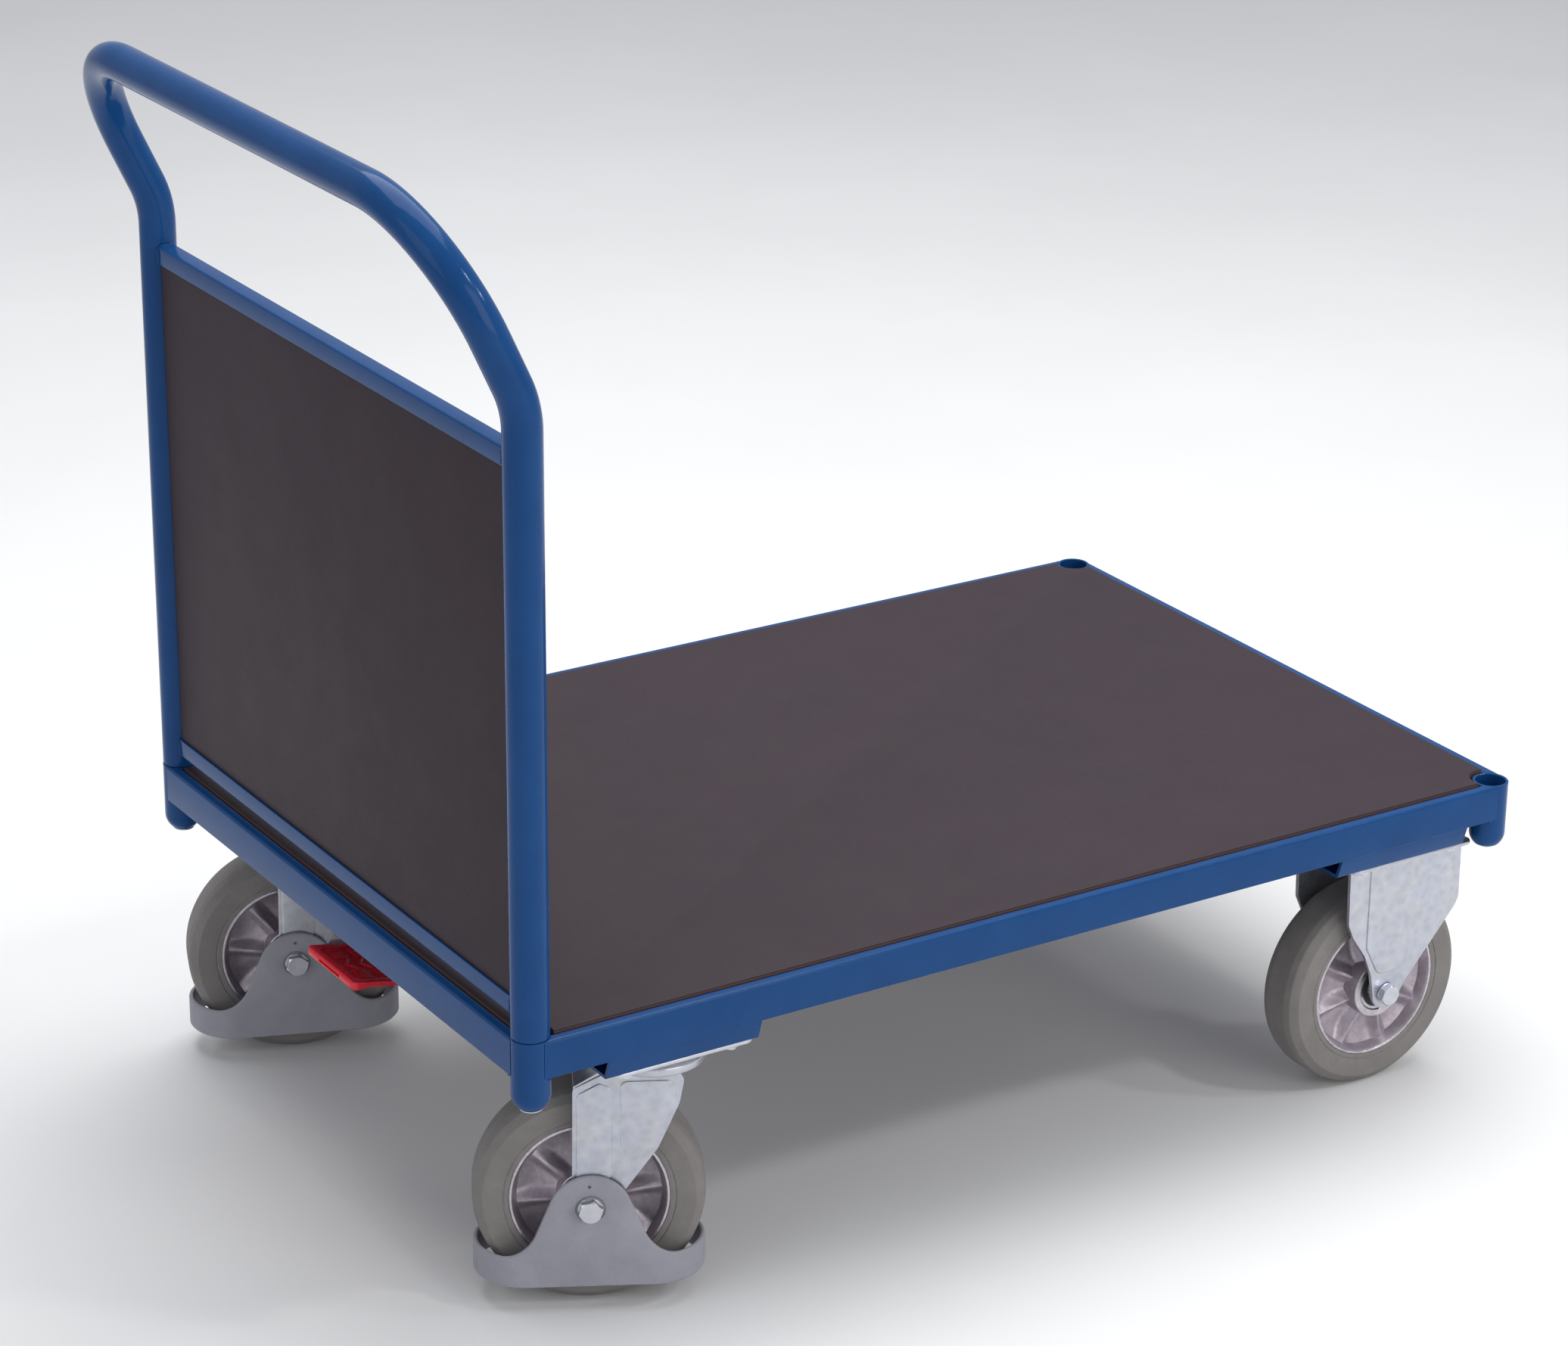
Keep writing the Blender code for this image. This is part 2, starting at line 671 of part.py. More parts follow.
def swivel_fork(name, axle):
    """A pressed fork: a dished crown under the ball race, a sloping web and two cheeks."""
    crown_z = CROWN_TOP_Z - WHEEL_RADIUS
    dish_z = 0.2235 - WHEEL_RADIUS
    sheet = CROWN_SHEET
    dish = [
        (KINGPIN_RADIUS + RUNNING_GAP, crown_z),
        (CROWN_RADIUS - 0.006, crown_z),
        (CROWN_RADIUS, crown_z - 0.005),
        (CROWN_RADIUS, dish_z),
        (CROWN_RADIUS - sheet, dish_z),
        (CROWN_RADIUS - sheet - 0.001, crown_z - sheet),
        (KINGPIN_RADIUS + RUNNING_GAP, crown_z - sheet),
    ]
    crown = turned(f"{name}_fork", dish, CROWN_STEPS, axle, (TRAIL, 0.0, 0.0))
    slope = [(-0.014, 0.1135), (0.007, 0.1262), (0.012, 0.1322), (0.030, 0.1325)]
    under = [(0.030, 0.1289), (0.010, 0.1232), (-0.014, 0.1099)]
    half = CHEEK_OUTER - 0.0015
    web = flat("fork_web", [slope + under], -half, half, axle, "XZ")
    outline = (
        [(-0.0145, 0.1115), (-AXLE_BOSS, 0.028)]
        + arc((0.0, 0.0), AXLE_BOSS, 180.0, 340.0, 7)
        + [(0.031, 0.016), (0.058, 0.054), (0.076, 0.096), (0.080, 0.118)]
        + [(0.072, 0.1320), (0.038, 0.1320), (0.028, 0.1290), (0.010, 0.1245)]
    )
    combine(crown, [web, *fork_cheeks(outline, axle)], "UNION")
    return make_part(crown, "zinc", smooth=True)


def fixed_fork(name, axle):
    """A fixed fork: two cheeks welded under their mounting plate."""
    plate_low = PLATE_BOTTOM_Z - WHEEL_RADIUS
    plate = block(
        f"{name}_fork",
        (FIXED_PLATE_SHIFT - PLATE[0] / 2, -PLATE[1] / 2, plate_low),
        (FIXED_PLATE_SHIFT + PLATE[0] / 2, PLATE[1] / 2, plate_low + PLATE[2] - GAP),
        axle,
    )
    top = plate_low + 0.001
    outline = (
        [(-0.050, top), (-0.0495, 0.081), (-0.043, 0.066), (-0.028, 0.044), (-0.019, 0.022)]
        + arc((0.0, 0.0), AXLE_BOSS, 180.0, 330.0, 7)
        + [(0.022, 0.007), (0.078, 0.072), (0.082, 0.080), (0.0815, top)]
    )
    return make_part(combine(plate, fork_cheeks(outline, axle), "UNION"), "zinc")


def foot_guard(name, axle):
    """A plastic band round the wheel that rises on both sides to the axle bolt."""
    length, width, wall = GUARD_HALF_LENGTH, GUARD_HALF_WIDTH, GUARD_WALL

    def stadium(half_length, half_width):
        straight = half_length - half_width
        right = arc((straight, 0.0), half_width, -90.0, 90.0, 12)
        left = arc((-straight, 0.0), half_width, 90.0, 270.0, 12)
        return right + left

    low = GUARD_BOTTOM_Z - WHEEL_RADIUS
    band = GUARD_BAND_Z - WHEEL_RADIUS
    outlines = [stadium(length, width), stadium(length - wall, width - wall)]
    guard = flat(f"{name}_foot_guard", outlines, low, GUARD_DOME - GUARD_DOME_SINK, axle)
    flank = math.degrees(GUARD_FLANK)
    tangent_z = GUARD_DOME * math.cos(GUARD_FLANK) - GUARD_DOME_SINK
    tangent = (-GUARD_DOME * math.sin(GUARD_FLANK), tangent_z)
    foot = tangent[0] - (tangent[1] - band) / math.tan(GUARD_FLANK)
    fillet_x = foot - GUARD_FILLET * math.tan(GUARD_FLANK / 2)
    left = arc((fillet_x, band + GUARD_FILLET), GUARD_FILLET, -90.0, flank - 90.0, 5)
    dome = arc((0.0, -GUARD_DOME_SINK), GUARD_DOME, 90.0 + flank, 90.0, 5)
    rise = left + dome
    profile = (
        [(-0.12, low - 0.01), (-0.12, band)]
        + rise
        + [(-x, z) for x, z in reversed(rise[:-1])]
        + [(0.12, band), (0.12, low - 0.01)]
    )
    bell = flat("guard_bell", [profile], -0.06, 0.06, axle, "XZ")
    combine(guard, [bell], "INTERSECT")
    hole = rod("guard_hole", BOLT_RADIUS + RUNNING_GAP, -0.06, 0.06, axle, axis="Y", sides=12)
    combine(guard, [hole], "DIFFERENCE")
    return make_part(guard, "grey_plastic", smooth=True)


def swivel_mount(side, pivot):
    """The plate, ball race and hollow kingpin that stay with the platform when the fork swivels."""
    plate_low = PLATE_BOTTOM_Z
    length, width, thickness = PLATE
    outline = rounded_box((-length / 2, -width / 2), (length / 2, width / 2), 0.010, 3)
    king = circle((0.0, 0.0), KINGPIN_RADIUS + GAP)
    high = plate_low + thickness - GAP
    plate = flat(f"swivel_plate_{side}", [outline, king], plate_low, high, pivot)
    make_part(plate, "zinc")
    inner, outer = RACE_RADII
    race = [
        (inner, plate_low - GAP),
        (outer, plate_low - GAP),
        (outer, CROWN_TOP_Z + GAP),
        (inner, CROWN_TOP_Z + GAP),
    ]
    make_part(turned(f"swivel_race_{side}", race, CROWN_STEPS, pivot), "zinc", smooth=True)
    crown_low = CROWN_TOP_Z - CROWN_SHEET - RUNNING_GAP
    rivet, rivet_top = (0.0140, CASTER_HEIGHT + 0.0022)
    king_profile = [
        (KINGPIN_BORE, rivet_top),
        (rivet, rivet_top),
        (rivet, CASTER_HEIGHT),
        (KINGPIN_RADIUS, CASTER_HEIGHT),
        (KINGPIN_RADIUS, crown_low),
        (FLANGE_RADIUS, crown_low),
        (FLANGE_RADIUS, crown_low - FLANGE_HEIGHT),
        (KINGPIN_BORE, crown_low - FLANGE_HEIGHT),
    ]
    make_part(turned(f"kingpin_{side}", king_profile, SMALL_STEPS, pivot), "zinc", smooth=True)


def brake_plunger(side, fork):
    """A push rod through the kingpin; its shoe stops the tyre and its head meets the brake cam."""
    stem = turned(
        f"brake_plunger_{side}",
        [
            (0.0, PLUNGER_TOP_Z),
            (0.0070, PLUNGER_TOP_Z),
            (0.0070, PLUNGER_TOP_Z - 0.003),
            (PLUNGER_RADIUS, PLUNGER_TOP_Z - 0.003),
            (PLUNGER_RADIUS, 0.1950),
            (0.0, 0.1950),
        ],
        12,
        fork,
    )

    def tyre_z(x):
        """The height of the tyre's tread under a point ahead of the swivel axis."""
        return WHEEL_RADIUS + math.sqrt(WHEEL_RADIUS**2 - (TRAIL + x) ** 2)

    xs = (-0.014, -0.005, 0.004, 0.012)
    under = [(x, tyre_z(x) + 0.0038) for x in xs]
    shoe = flat("brake_shoe", [under + [(0.012, 0.201), (-0.014, 0.201)]], -0.013, 0.013, fork, "XZ")
    return make_part(combine(stem, [shoe], "UNION"), "zinc", smooth=True)


def swivel_caster(side, parent):
    place = (SWIVEL_X, SIDES[side] * CASTER_Y, 0.0)
    pivot = locator(f"swivel_pivot_{side}", place, parent)
    swivel_mount(side, pivot)
    fork = locator(f"swivel_axis_{side}", place, parent, HEADING[side])
    axle = locator(f"swivel_axle_{side}", (-TRAIL, 0.0, WHEEL_RADIUS), fork)
    name = f"swivel_{side}"
    swivel_fork(name, axle)
    foot_guard(name, axle)
    axle_set(name, axle, GUARD_HALF_WIDTH, GUARD_HALF_WIDTH)
    brake_plunger(side, fork)
    wheel(name, axle)


def fixed_caster(side, parent):
    place = (FIXED_AXLE_X, SIDES[side] * CASTER_Y, WHEEL_RADIUS)
    axle = locator(f"fixed_axle_{side}", place, parent)
    name = f"fixed_{side}"
    fixed_fork(name, axle)
    axle_set(name, axle, CHEEK_OUTER, CHEEK_OUTER)
    wheel(name, axle)


# ---------------------------------------------------------------- central brake


def tapered_arm(first, first_radius, second, second_radius, steps=6):
    """The outline of an arm between two round ends, the second one to the left of the first."""
    run = Vector(second) - Vector(first)
    lean = math.degrees(math.asin((first_radius - second_radius) / run.length))
    heading = math.degrees(math.atan2(run.y, run.x)) % 360.0
    upper = heading - 90.0 + lean
    lower = heading + 90.0 - lean
    return arc(first, first_radius, lower - 360.0, upper, steps) + arc(
        second, second_radius, upper, lower, steps
    )


def brake_shaft(parent):
    """A round bar across the trolley with a cam finger over each kingpin."""
    reach = CASTER_Y + 0.009
    shaft = rod("brake_shaft", SHAFT_RADIUS, -reach, reach, parent, axis="Y", sides=12)
    nose = (-CAM_REACH, NOSE_Z - SHAFT_Z)
    outline = tapered_arm((0.0, 0.0), 0.0085, nose, NOSE_RADIUS)
    fingers = [
        flat("cam_finger", [outline], sy * CASTER_Y - 0.006, sy * CASTER_Y + 0.006, parent, "XZ")
        for sy in SIDES.values()
    ]
    return make_part(combine(shaft, fingers, "UNION"), "zinc")


def pedal_z(x, below=0.0):
    """The height of the pedal's sloping top over a point x from the shaft, less a depth below it."""
    return PEDAL_TOP_Z - SHAFT_Z - PEDAL_SLOPE * (x + SHAFT_X - PEDAL_FREE_X) - below


def brake_lever(parent):
    """A flat steel arm from the shaft to the underside of the pedal."""
    thickness = 0.005
    under = PEDAL_SHEET + GAP
    pad_x = PEDAL_FREE_X - SHAFT_X + PEDAL_LIP + 0.005
    knee_x = PEDAL_FREE_X - SHAFT_X + PEDAL_LENGTH
    outline = arc((0.0, 0.0), 0.0110, 100.0, -80.0, 8) + [
        (-0.012, -0.0110),
        (knee_x + 0.006, pedal_z(knee_x, under + thickness)),
        (pad_x, pedal_z(pad_x, under + thickness)),
        (pad_x, pedal_z(pad_x, under)),
        (knee_x + 0.003, pedal_z(knee_x + 0.003, under)),
        (-0.018, 0.002),
    ]
    hole = circle((0.0, 0.0), SHAFT_RADIUS + GAP, 12)
    return make_part(flat("brake_lever", [outline, hole], -0.015, 0.015, parent, "XZ"), "zinc")


def brake_pedal(parent):
    """A moulded foot pedal that slopes down to its lever, with a deep front lip and a sunk tread."""
    free_x = PEDAL_FREE_X - SHAFT_X
    end_x = free_x + PEDAL_LENGTH
    half = PEDAL_WIDTH / 2
    lip_z = PEDAL_LIP_Z - SHAFT_Z
    lip_x = free_x + PEDAL_LIP
    section = [
        (free_x, lip_z),
        (free_x, pedal_z(free_x)),
        (end_x, pedal_z(end_x)),
        (end_x, pedal_z(end_x, PEDAL_SHEET)),
        (lip_x + 0.001, pedal_z(lip_x + 0.001, PEDAL_SHEET)),
        (lip_x, lip_z),
    ]
    pedal = flat("brake_pedal", [section], -half, half, parent, "XZ")
    outline = rounded_box((free_x, -half), (end_x, half), PEDAL_CORNER, 4)
    combine(pedal, [flat("pedal_outline", [outline], -0.08, 0.01, parent)], "INTERSECT")
    tread_x = free_x + TREAD_MARGIN
    recess = [
        (tread_x, pedal_z(tread_x, TREAD_DEPTH)),
        (end_x + 0.01, pedal_z(end_x + 0.01, TREAD_DEPTH)),
        (end_x + 0.01, 0.0),
        (tread_x, 0.0),
    ]
    inner = half - TREAD_MARGIN
    combine(pedal, [flat("tread_recess", [recess], -inner, inner, parent, "XZ")], "DIFFERENCE")
    return make_part(pedal, "red_plastic")


def brake_bracket(parent):
    """A folded bracket under the deck whose two ears carry the middle of the shaft."""
    top = DECK_BOTTOM_Z - GAP
    half, sheet = BRACKET_HALF, 0.003
    ear_low = SHAFT_Z - 0.011
    section = [
        (-half - sheet, top),
        (-half - sheet, ear_low),
        (-half, ear_low),
        (-half, top - sheet),
        (half, top - sheet),
        (half, ear_low),
        (half + sheet, ear_low),
        (half + sheet, top),
    ]
    bracket = flat("brake_bracket", [section], SHAFT_X - 0.014, SHAFT_X + 0.014, parent, "YZ")
    hole = rod(
        "bracket_hole", SHAFT_RADIUS + GAP, -0.05, 0.05, parent, (SHAFT_X, 0.0, SHAFT_Z), "Y", 12
    )
    return make_part(combine(bracket, [hole], "DIFFERENCE"), "zinc")


# ---------------------------------------------------------------- the trolley


def build():
    frame = locator("trolley", (FRAME_X, FRAME_Y, 0.0))
    for side in SIDES:
        side_rail(side, frame)
    for end in ENDS:
        end_rail(end, frame)
        for side in SIDES:
            corner_socket(end, side, frame)
            caster_pan(end, side, frame)
    deck_panel(frame)
    push_handle(frame)
    for side in SIDES:
        handle_screw(side, frame)
    panel_channel("panel_top_rail", TOP_CHANNEL_Z, "down", frame)
    panel_channel("panel_bottom_rail", BOTTOM_CHANNEL_Z, "up", frame)
    end_panel(frame)
    for side in SIDES:
        swivel_caster(side, frame)
        fixed_caster(side, frame)
    brake_bracket(frame)
    shaft_axis = locator("brake_shaft_axis", (SHAFT_X, 0.0, SHAFT_Z), frame)
    brake_shaft(shaft_axis)
    brake_lever(shaft_axis)
    brake_pedal(shaft_axis)
    bpy.context.view_layer.update()


build()
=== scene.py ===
"""Looks of the platform trolley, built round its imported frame.

Metres, +Z up. The open front end is at +X, the push handle at -X and the left side at +Y.
"""

import json
import math

import bmesh
import bpy
from mathutils import Matrix, Vector


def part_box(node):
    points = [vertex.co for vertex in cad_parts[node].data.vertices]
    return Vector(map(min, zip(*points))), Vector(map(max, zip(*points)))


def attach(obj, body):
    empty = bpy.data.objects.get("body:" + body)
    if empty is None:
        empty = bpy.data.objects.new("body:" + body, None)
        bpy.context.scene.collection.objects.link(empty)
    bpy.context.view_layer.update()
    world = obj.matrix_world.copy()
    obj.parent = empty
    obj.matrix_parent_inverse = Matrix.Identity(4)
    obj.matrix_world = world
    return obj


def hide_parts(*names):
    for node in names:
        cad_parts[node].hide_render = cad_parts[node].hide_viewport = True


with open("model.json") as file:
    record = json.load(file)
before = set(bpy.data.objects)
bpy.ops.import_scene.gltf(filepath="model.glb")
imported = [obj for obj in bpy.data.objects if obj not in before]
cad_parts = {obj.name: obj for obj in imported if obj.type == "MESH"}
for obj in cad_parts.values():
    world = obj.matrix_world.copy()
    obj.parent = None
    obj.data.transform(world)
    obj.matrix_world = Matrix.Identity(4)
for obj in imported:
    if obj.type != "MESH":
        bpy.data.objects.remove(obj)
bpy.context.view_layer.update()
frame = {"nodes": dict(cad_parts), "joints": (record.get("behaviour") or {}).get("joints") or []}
deck_low, deck_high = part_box("deck_panel")
middle = (deck_low + deck_high) / 2
joints = {joint["name"]: joint for joint in frame["joints"]}
SIDES = {"left": 1.0, "right": -1.0}
ENDS = {"front": 1.0, "rear": -1.0}


# ---------------------------------------------------------------- camera and light
# A long lens looks down on the trolley from behind its right rear corner. Large soft boxes
# hang over and beside it, and it stands on a pale seamless floor.

AZIMUTH, ELEVATION, ROLL = (math.radians(a) for a in (-32.9358, 21.7421, 0.7543))
camera_data = bpy.data.cameras.new("studio_camera")
camera_data.sensor_width = 36.0
camera_data.lens = 102.31
camera_data.shift_x = -0.02205
camera_data.shift_y = -0.01151
camera_data.clip_end = 60.0
camera = bpy.data.objects.new("studio_camera", camera_data)
bpy.context.scene.collection.objects.link(camera)
back = Vector(
    (
        math.sin(AZIMUTH) * math.cos(ELEVATION),
        -math.cos(AZIMUTH) * math.cos(ELEVATION),
        math.sin(ELEVATION),
    )
)
level = Vector((math.cos(AZIMUTH), math.sin(AZIMUTH), 0.0))
upward = back.cross(level)
across = math.cos(ROLL) * level + math.sin(ROLL) * upward
upright = math.cos(ROLL) * upward - math.sin(ROLL) * level
camera.matrix_world = Matrix.Translation((-2.0563, -3.2081, 1.9389)) @ (
    Matrix((across, upright, back)).transposed().to_4x4()
)
bpy.context.scene.camera = camera


def soft_box(name, place, size, power, colour=(1.0, 1.0, 1.0)):
    """A square area light that faces the middle of the trolley."""
    data = bpy.data.lights.new(name, "AREA")
    data.size = size
    data.energy = power
    data.color = colour
    lamp = bpy.data.objects.new(name, data)
    bpy.context.scene.collection.objects.link(lamp)
    lamp.location = place
    aim = Vector((0.0, 0.0, 0.35)) - Vector(place)
    lamp.rotation_euler = aim.to_track_quat("-Z", "Y").to_euler()


soft_box("overhead_box", (0.4, 0.6, 3.4), 3.4, 112.0)
soft_box("rear_box", (-4.0, -1.0, 1.8), 2.4, 17.0, (0.96, 0.98, 1.0))
soft_box("side_box", (0.8, -4.2, 1.5), 2.6, 46.0, (1.0, 0.99, 0.97))
soft_box("high_strip", (1.5, -2.4, 3.0), 0.30, 15.0)
soft_box("low_strip", (2.1, -1.9, 2.2), 0.24, 8.0)
world = bpy.data.worlds.new("studio")
world.use_nodes = True
world.node_tree.nodes["Background"].inputs["Color"].default_value = (0.93, 0.95, 1.0, 1.0)
world.node_tree.nodes["Background"].inputs["Strength"].default_value = 0.50
bpy.context.scene.world = world
bpy.context.scene.view_settings.view_transform = "Standard"


# ---------------------------------------------------------------- materials
# Each material is a base tone with layers of colour over it, a roughness that varies in patches
# and a fine relief. The masks and heights that they share are node groups.


def feed(tree, socket, value):
    """Gives a socket a value, or links it to an output."""
    if isinstance(value, bpy.types.NodeSocket):
        tree.links.new(value, socket)
    else:
        socket.default_value = value


def put_node(tree, kind, **values):
    """A node whose sockets, named with _ for a space, get the given values or outputs."""
    node = tree.nodes.new(kind)
    for socket, value in values.items():
        feed(tree, node.inputs[socket.replace("_", " ")], value)
    return node


def put_math(tree, operation, *values):
    """The result of an operation on numbers or outputs."""
    node = tree.nodes.new("ShaderNodeMath")
    node.operation = operation
    for socket, value in zip(node.inputs, values):
        feed(tree, socket, value)
    return node.outputs["Value"]


def put_mix(tree, mask, first, second):
    """A colour that goes from first to second with a mask. Each is a colour or an output."""
    node = tree.nodes.new("ShaderNodeMix")
    node.data_type = "RGBA"
    feed(tree, node.inputs["Factor"], mask)
    for socket, value in ((node.inputs[6], first), (node.inputs[7], second)):
        feed(tree, socket, (*value, 1.0) if isinstance(value, tuple) else value)
    return node.outputs[2]


def put_range(tree, mask, low, high, start=0.0, stop=1.0):
    """A value that goes from low to high while a mask goes from start to stop."""
    node = put_node(
        tree, "ShaderNodeMapRange", Value=mask, From_Min=start, From_Max=stop, To_Min=low, To_Max=high
    )
    return node.outputs["Result"]


def put_cloud(tree, scale, detail, roughness, shift=None):
    """Noise on the object's own coordinates, moved by a shift. A scale may be an output."""
    place = put_node(tree, "ShaderNodeTexCoord").outputs["Object"]
    if shift is not None:
        moved = put_node(tree, "ShaderNodeVectorMath")
        feed(tree, moved.inputs[0], place)
        feed(tree, moved.inputs[1], shift)
        place = moved.outputs["Vector"]
    cloud = put_node(
        tree, "ShaderNodeTexNoise", Vector=place, Scale=scale, Detail=detail, Roughness=roughness
    )
    return cloud.outputs["Fac"]


def new_group(name, result, **inputs):
    """A shader node group with one result: its tree, its input node and its output node."""
    tree = bpy.data.node_groups.new(name, "ShaderNodeTree")
    for socket, value in inputs.items():
        made = tree.interface.new_socket(name=socket, in_out="INPUT", socket_type="NodeSocketFloat")
        made.default_value = value
    tree.interface.new_socket(name=result, in_out="OUTPUT", socket_type="NodeSocketFloat")
    return tree, tree.nodes.new("NodeGroupInput"), tree.nodes.new("NodeGroupOutput")


def put_group(tree, group, **values):
    """The result of a node group placed in a tree with its values."""
    node = tree.nodes.new("ShaderNodeGroup")
    node.node_tree = group
    for socket, value in values.items():
        node.inputs[socket].default_value = value
    return node.outputs[0]


def patches_group():
    """Soft patches of a given size, as a mask from 0 to 1."""
    tree, start, end = new_group("patches", "Mask", Size=0.05, Seed=0.0)
    scale = put_math(tree, "DIVIDE", 1.0, start.outputs["Size"])
    cloud = put_cloud(tree, scale, 4.0, 0.6, start.outputs["Seed"])
    feed(tree, end.inputs["Mask"], put_range(tree, cloud, 0.0, 1.0, 0.32, 0.68))
    return tree


def grain_group():
    """Fine raised grain of a given size, as a height from 0 to 1."""
    tree, start, end = new_group("fine_grain", "Height", Size=0.001)
    scale = put_math(tree, "DIVIDE", 1.0, start.outputs["Size"])
    feed(tree, end.inputs["Height"], put_cloud(tree, scale, 2.0, 0.5))
    return tree


def mesh_group():
    """The pressed wire mesh of the film: crossed ridges at a given pitch, level or upright."""
    tree, start, end = new_group("pressed_mesh", "Height", Pitch=0.002, Upright=0.0)
    place = put_node(tree, "ShaderNodeTexCoord")
    parts = put_node(tree, "ShaderNodeSeparateXYZ", Vector=place.outputs["Object"])
    first = tree.nodes.new("ShaderNodeMix")
    feed(tree, first.inputs["Factor"], start.outputs["Upright"])
    feed(tree, first.inputs[2], parts.outputs["X"])
    feed(tree, first.inputs[3], parts.outputs["Z"])
    waves = []
    for along in (first.outputs[0], parts.outputs["Y"]):
        turns = put_math(tree, "DIVIDE", along, start.outputs["Pitch"])
        waves.append(put_math(tree, "SINE", put_math(tree, "MULTIPLY", turns, 2.0 * math.pi)))
    ridges = put_math(tree, "MAXIMUM", *waves)
    feed(tree, end.inputs["Height"], put_range(tree, ridges, 0.0, 1.0, -1.0, 1.0))
    return tree


def edge_wear_and_highlight_group():
    """Edges of the given width as a mask from 0 to 1, for rubbed wear and for painted edge highlights.
    """
    tree, start, end = new_group("rubbed_and_highlit_edges", "Mask", Width=0.001, Amount=0.5)
    softened = put_node(tree, "ShaderNodeBevel", Radius=start.outputs["Width"])
    softened.samples = 4
    surface = put_node(tree, "ShaderNodeNewGeometry")
    likeness = put_node(tree, "ShaderNodeVectorMath")
    likeness.operation = "DOT_PRODUCT"
    feed(tree, likeness.inputs[0], softened.outputs["Normal"])
    feed(tree, likeness.inputs[1], surface.outputs["Normal"])
    edge = put_range(tree, likeness.outputs["Value"], 0.0, 1.0, 0.995, 0.90)
    broken = put_range(tree, put_cloud(tree, 60.0, 5.0, 0.7), 0.0, 1.0, 0.42, 0.62)
    worn = put_math(tree, "MULTIPLY", edge, broken)
    feed(tree, end.inputs["Mask"], put_math(tree, "MULTIPLY", worn, start.outputs["Amount"]))
    return tree


PATCHES, GRAIN, MESH, EDGE_WEAR_AND_HIGHLIGHT = patches_group(), grain_group(), mesh_group(), edge_wear_and_highlight_group()


def put_patches(tree, size, seed=0.0):
    return put_group(tree, PATCHES, Size=size, Seed=seed)


def put_patches_range(tree, size, seed, low, high):
    return put_range(tree, put_patches(tree, size, seed), low, high)


def put_grain(tree, size):
    return put_group(tree, GRAIN, Size=size)


def put_grain_range(tree, size, low, high):
    return put_range(tree, put_grain(tree, size), low, high)


def put_mesh(tree, upright):
    return put_group(tree, MESH, Pitch=0.0022, Upright=upright)


def put_edge_wear_and_highlight(tree, width, amount):
    return put_group(tree, EDGE_WEAR_AND_HIGHLIGHT, Width=width, Amount=amount)


def dust_group():
    """Where dust settles: faces that look up, in soft patches, as a mask from 0 to 1."""
    tree, start, end = new_group("settled_dust", "Mask", Amount=0.2)
    surface = put_node(tree, "ShaderNodeNewGeometry")
    parts = put_node(tree, "ShaderNodeSeparateXYZ", Vector=surface.outputs["Normal"])
    facing = put_range(tree, parts.outputs["Z"], 0.0, 1.0, 0.55, 1.0)
    settled = put_math(tree, "MULTIPLY", facing, put_patches(tree, 0.03, 7.0))
    feed(tree, end.inputs["Mask"], put_math(tree, "MULTIPLY", settled, start.outputs["Amount"]))
    return tree


DUST = dust_group()


def put_dust(tree, amount):
    return put_group(tree, DUST, Amount=amount)


def make_material(name, tone, layers, rough, relief=None, specular=0.5, metallic=0.0):
    """A material from a base tone and layers of colour over it.

    A layer is a function that puts a mask, its values and its colour. rough is the size, seed and
    ends of the patches of roughness, and relief a height function, its values and its depth.
    """
    material = bpy.data.materials.new(name)
    material.use_nodes = True
    tree = material.node_tree
    shader = tree.nodes["Principled BSDF"]
    for put_mask, values, colour in layers:
        tone = put_mix(tree, put_mask(tree, *values), tone, colour)
    feed(tree, shader.inputs["Base Color"], tone)
    feed(tree, shader.inputs["Roughness"], put_patches_range(tree, *rough))
    shader.inputs["Specular IOR Level"].default_value = specular
    shader.inputs["Metallic"].default_value = metallic
    if relief:
        put_height, values, depth = relief
        bump = put_node(tree, "ShaderNodeBump", Height=put_height(tree, *values), Distance=depth)
        feed(tree, shader.inputs["Normal"], bump.outputs["Normal"])
    return material


def finish_piece(name, shape, materials, body, nodes=(), angle=35.0):
    """Makes a shape a named piece of a body, with its materials and the nodes it stands for."""
    bmesh.ops.recalc_face_normals(shape, faces=shape.faces)
    data = bpy.data.meshes.new(name)
    shape.to_mesh(data)
    shape.free()
    data.shade_smooth()
    data.set_sharp_from_angle(angle=math.radians(angle))
    for material in materials:
        data.materials.append(material)
    piece = bpy.data.objects.new(name, data)
    bpy.context.scene.collection.objects.link(piece)
    if body is None:
        return piece
    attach(piece, body)
    if nodes:
        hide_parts(*nodes)
    return piece


# ---------------------------------------------------------------- floor
# The trolley stands on a pale seamless floor of matt board.

floor_board = make_material(
    "studio_floor",
    (0.80, 0.80, 0.80),
    [(put_patches, (0.9,), (0.84, 0.84, 0.84))],
    (0.9, 0.0, 0.9, 0.9),
)
floor_shape = bmesh.new()
bmesh.ops.create_grid(floor_shape, x_segments=8, y_segments=8, size=14.0)
finish_piece("studio_floor", floor_shape, [floor_board], None)


# ---------------------------------------------------------------- deck
# The load deck is birch plywood with a dark brown phenolic film, wire-mesh pressed so that loads
# don't slide. Its sawn edge shows the reddish veneers, and each corner is notched for a socket.

DECK_NOTCH = 0.0195
SOCKET_RADIUS = 0.01685
SOCKET_X = 0.51215
SOCKET_Y = 0.33315
rim_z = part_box("side_rail_right")[1].z


def arc(centre, radius, start, end, steps):
    """Points on an arc, from start to end in degrees."""
    angles = [math.radians(start + (end - start) * i / steps) for i in range(steps + 1)]
    return [(centre[0] + radius * math.cos(a), centre[1] + radius * math.sin(a)) for a in angles]


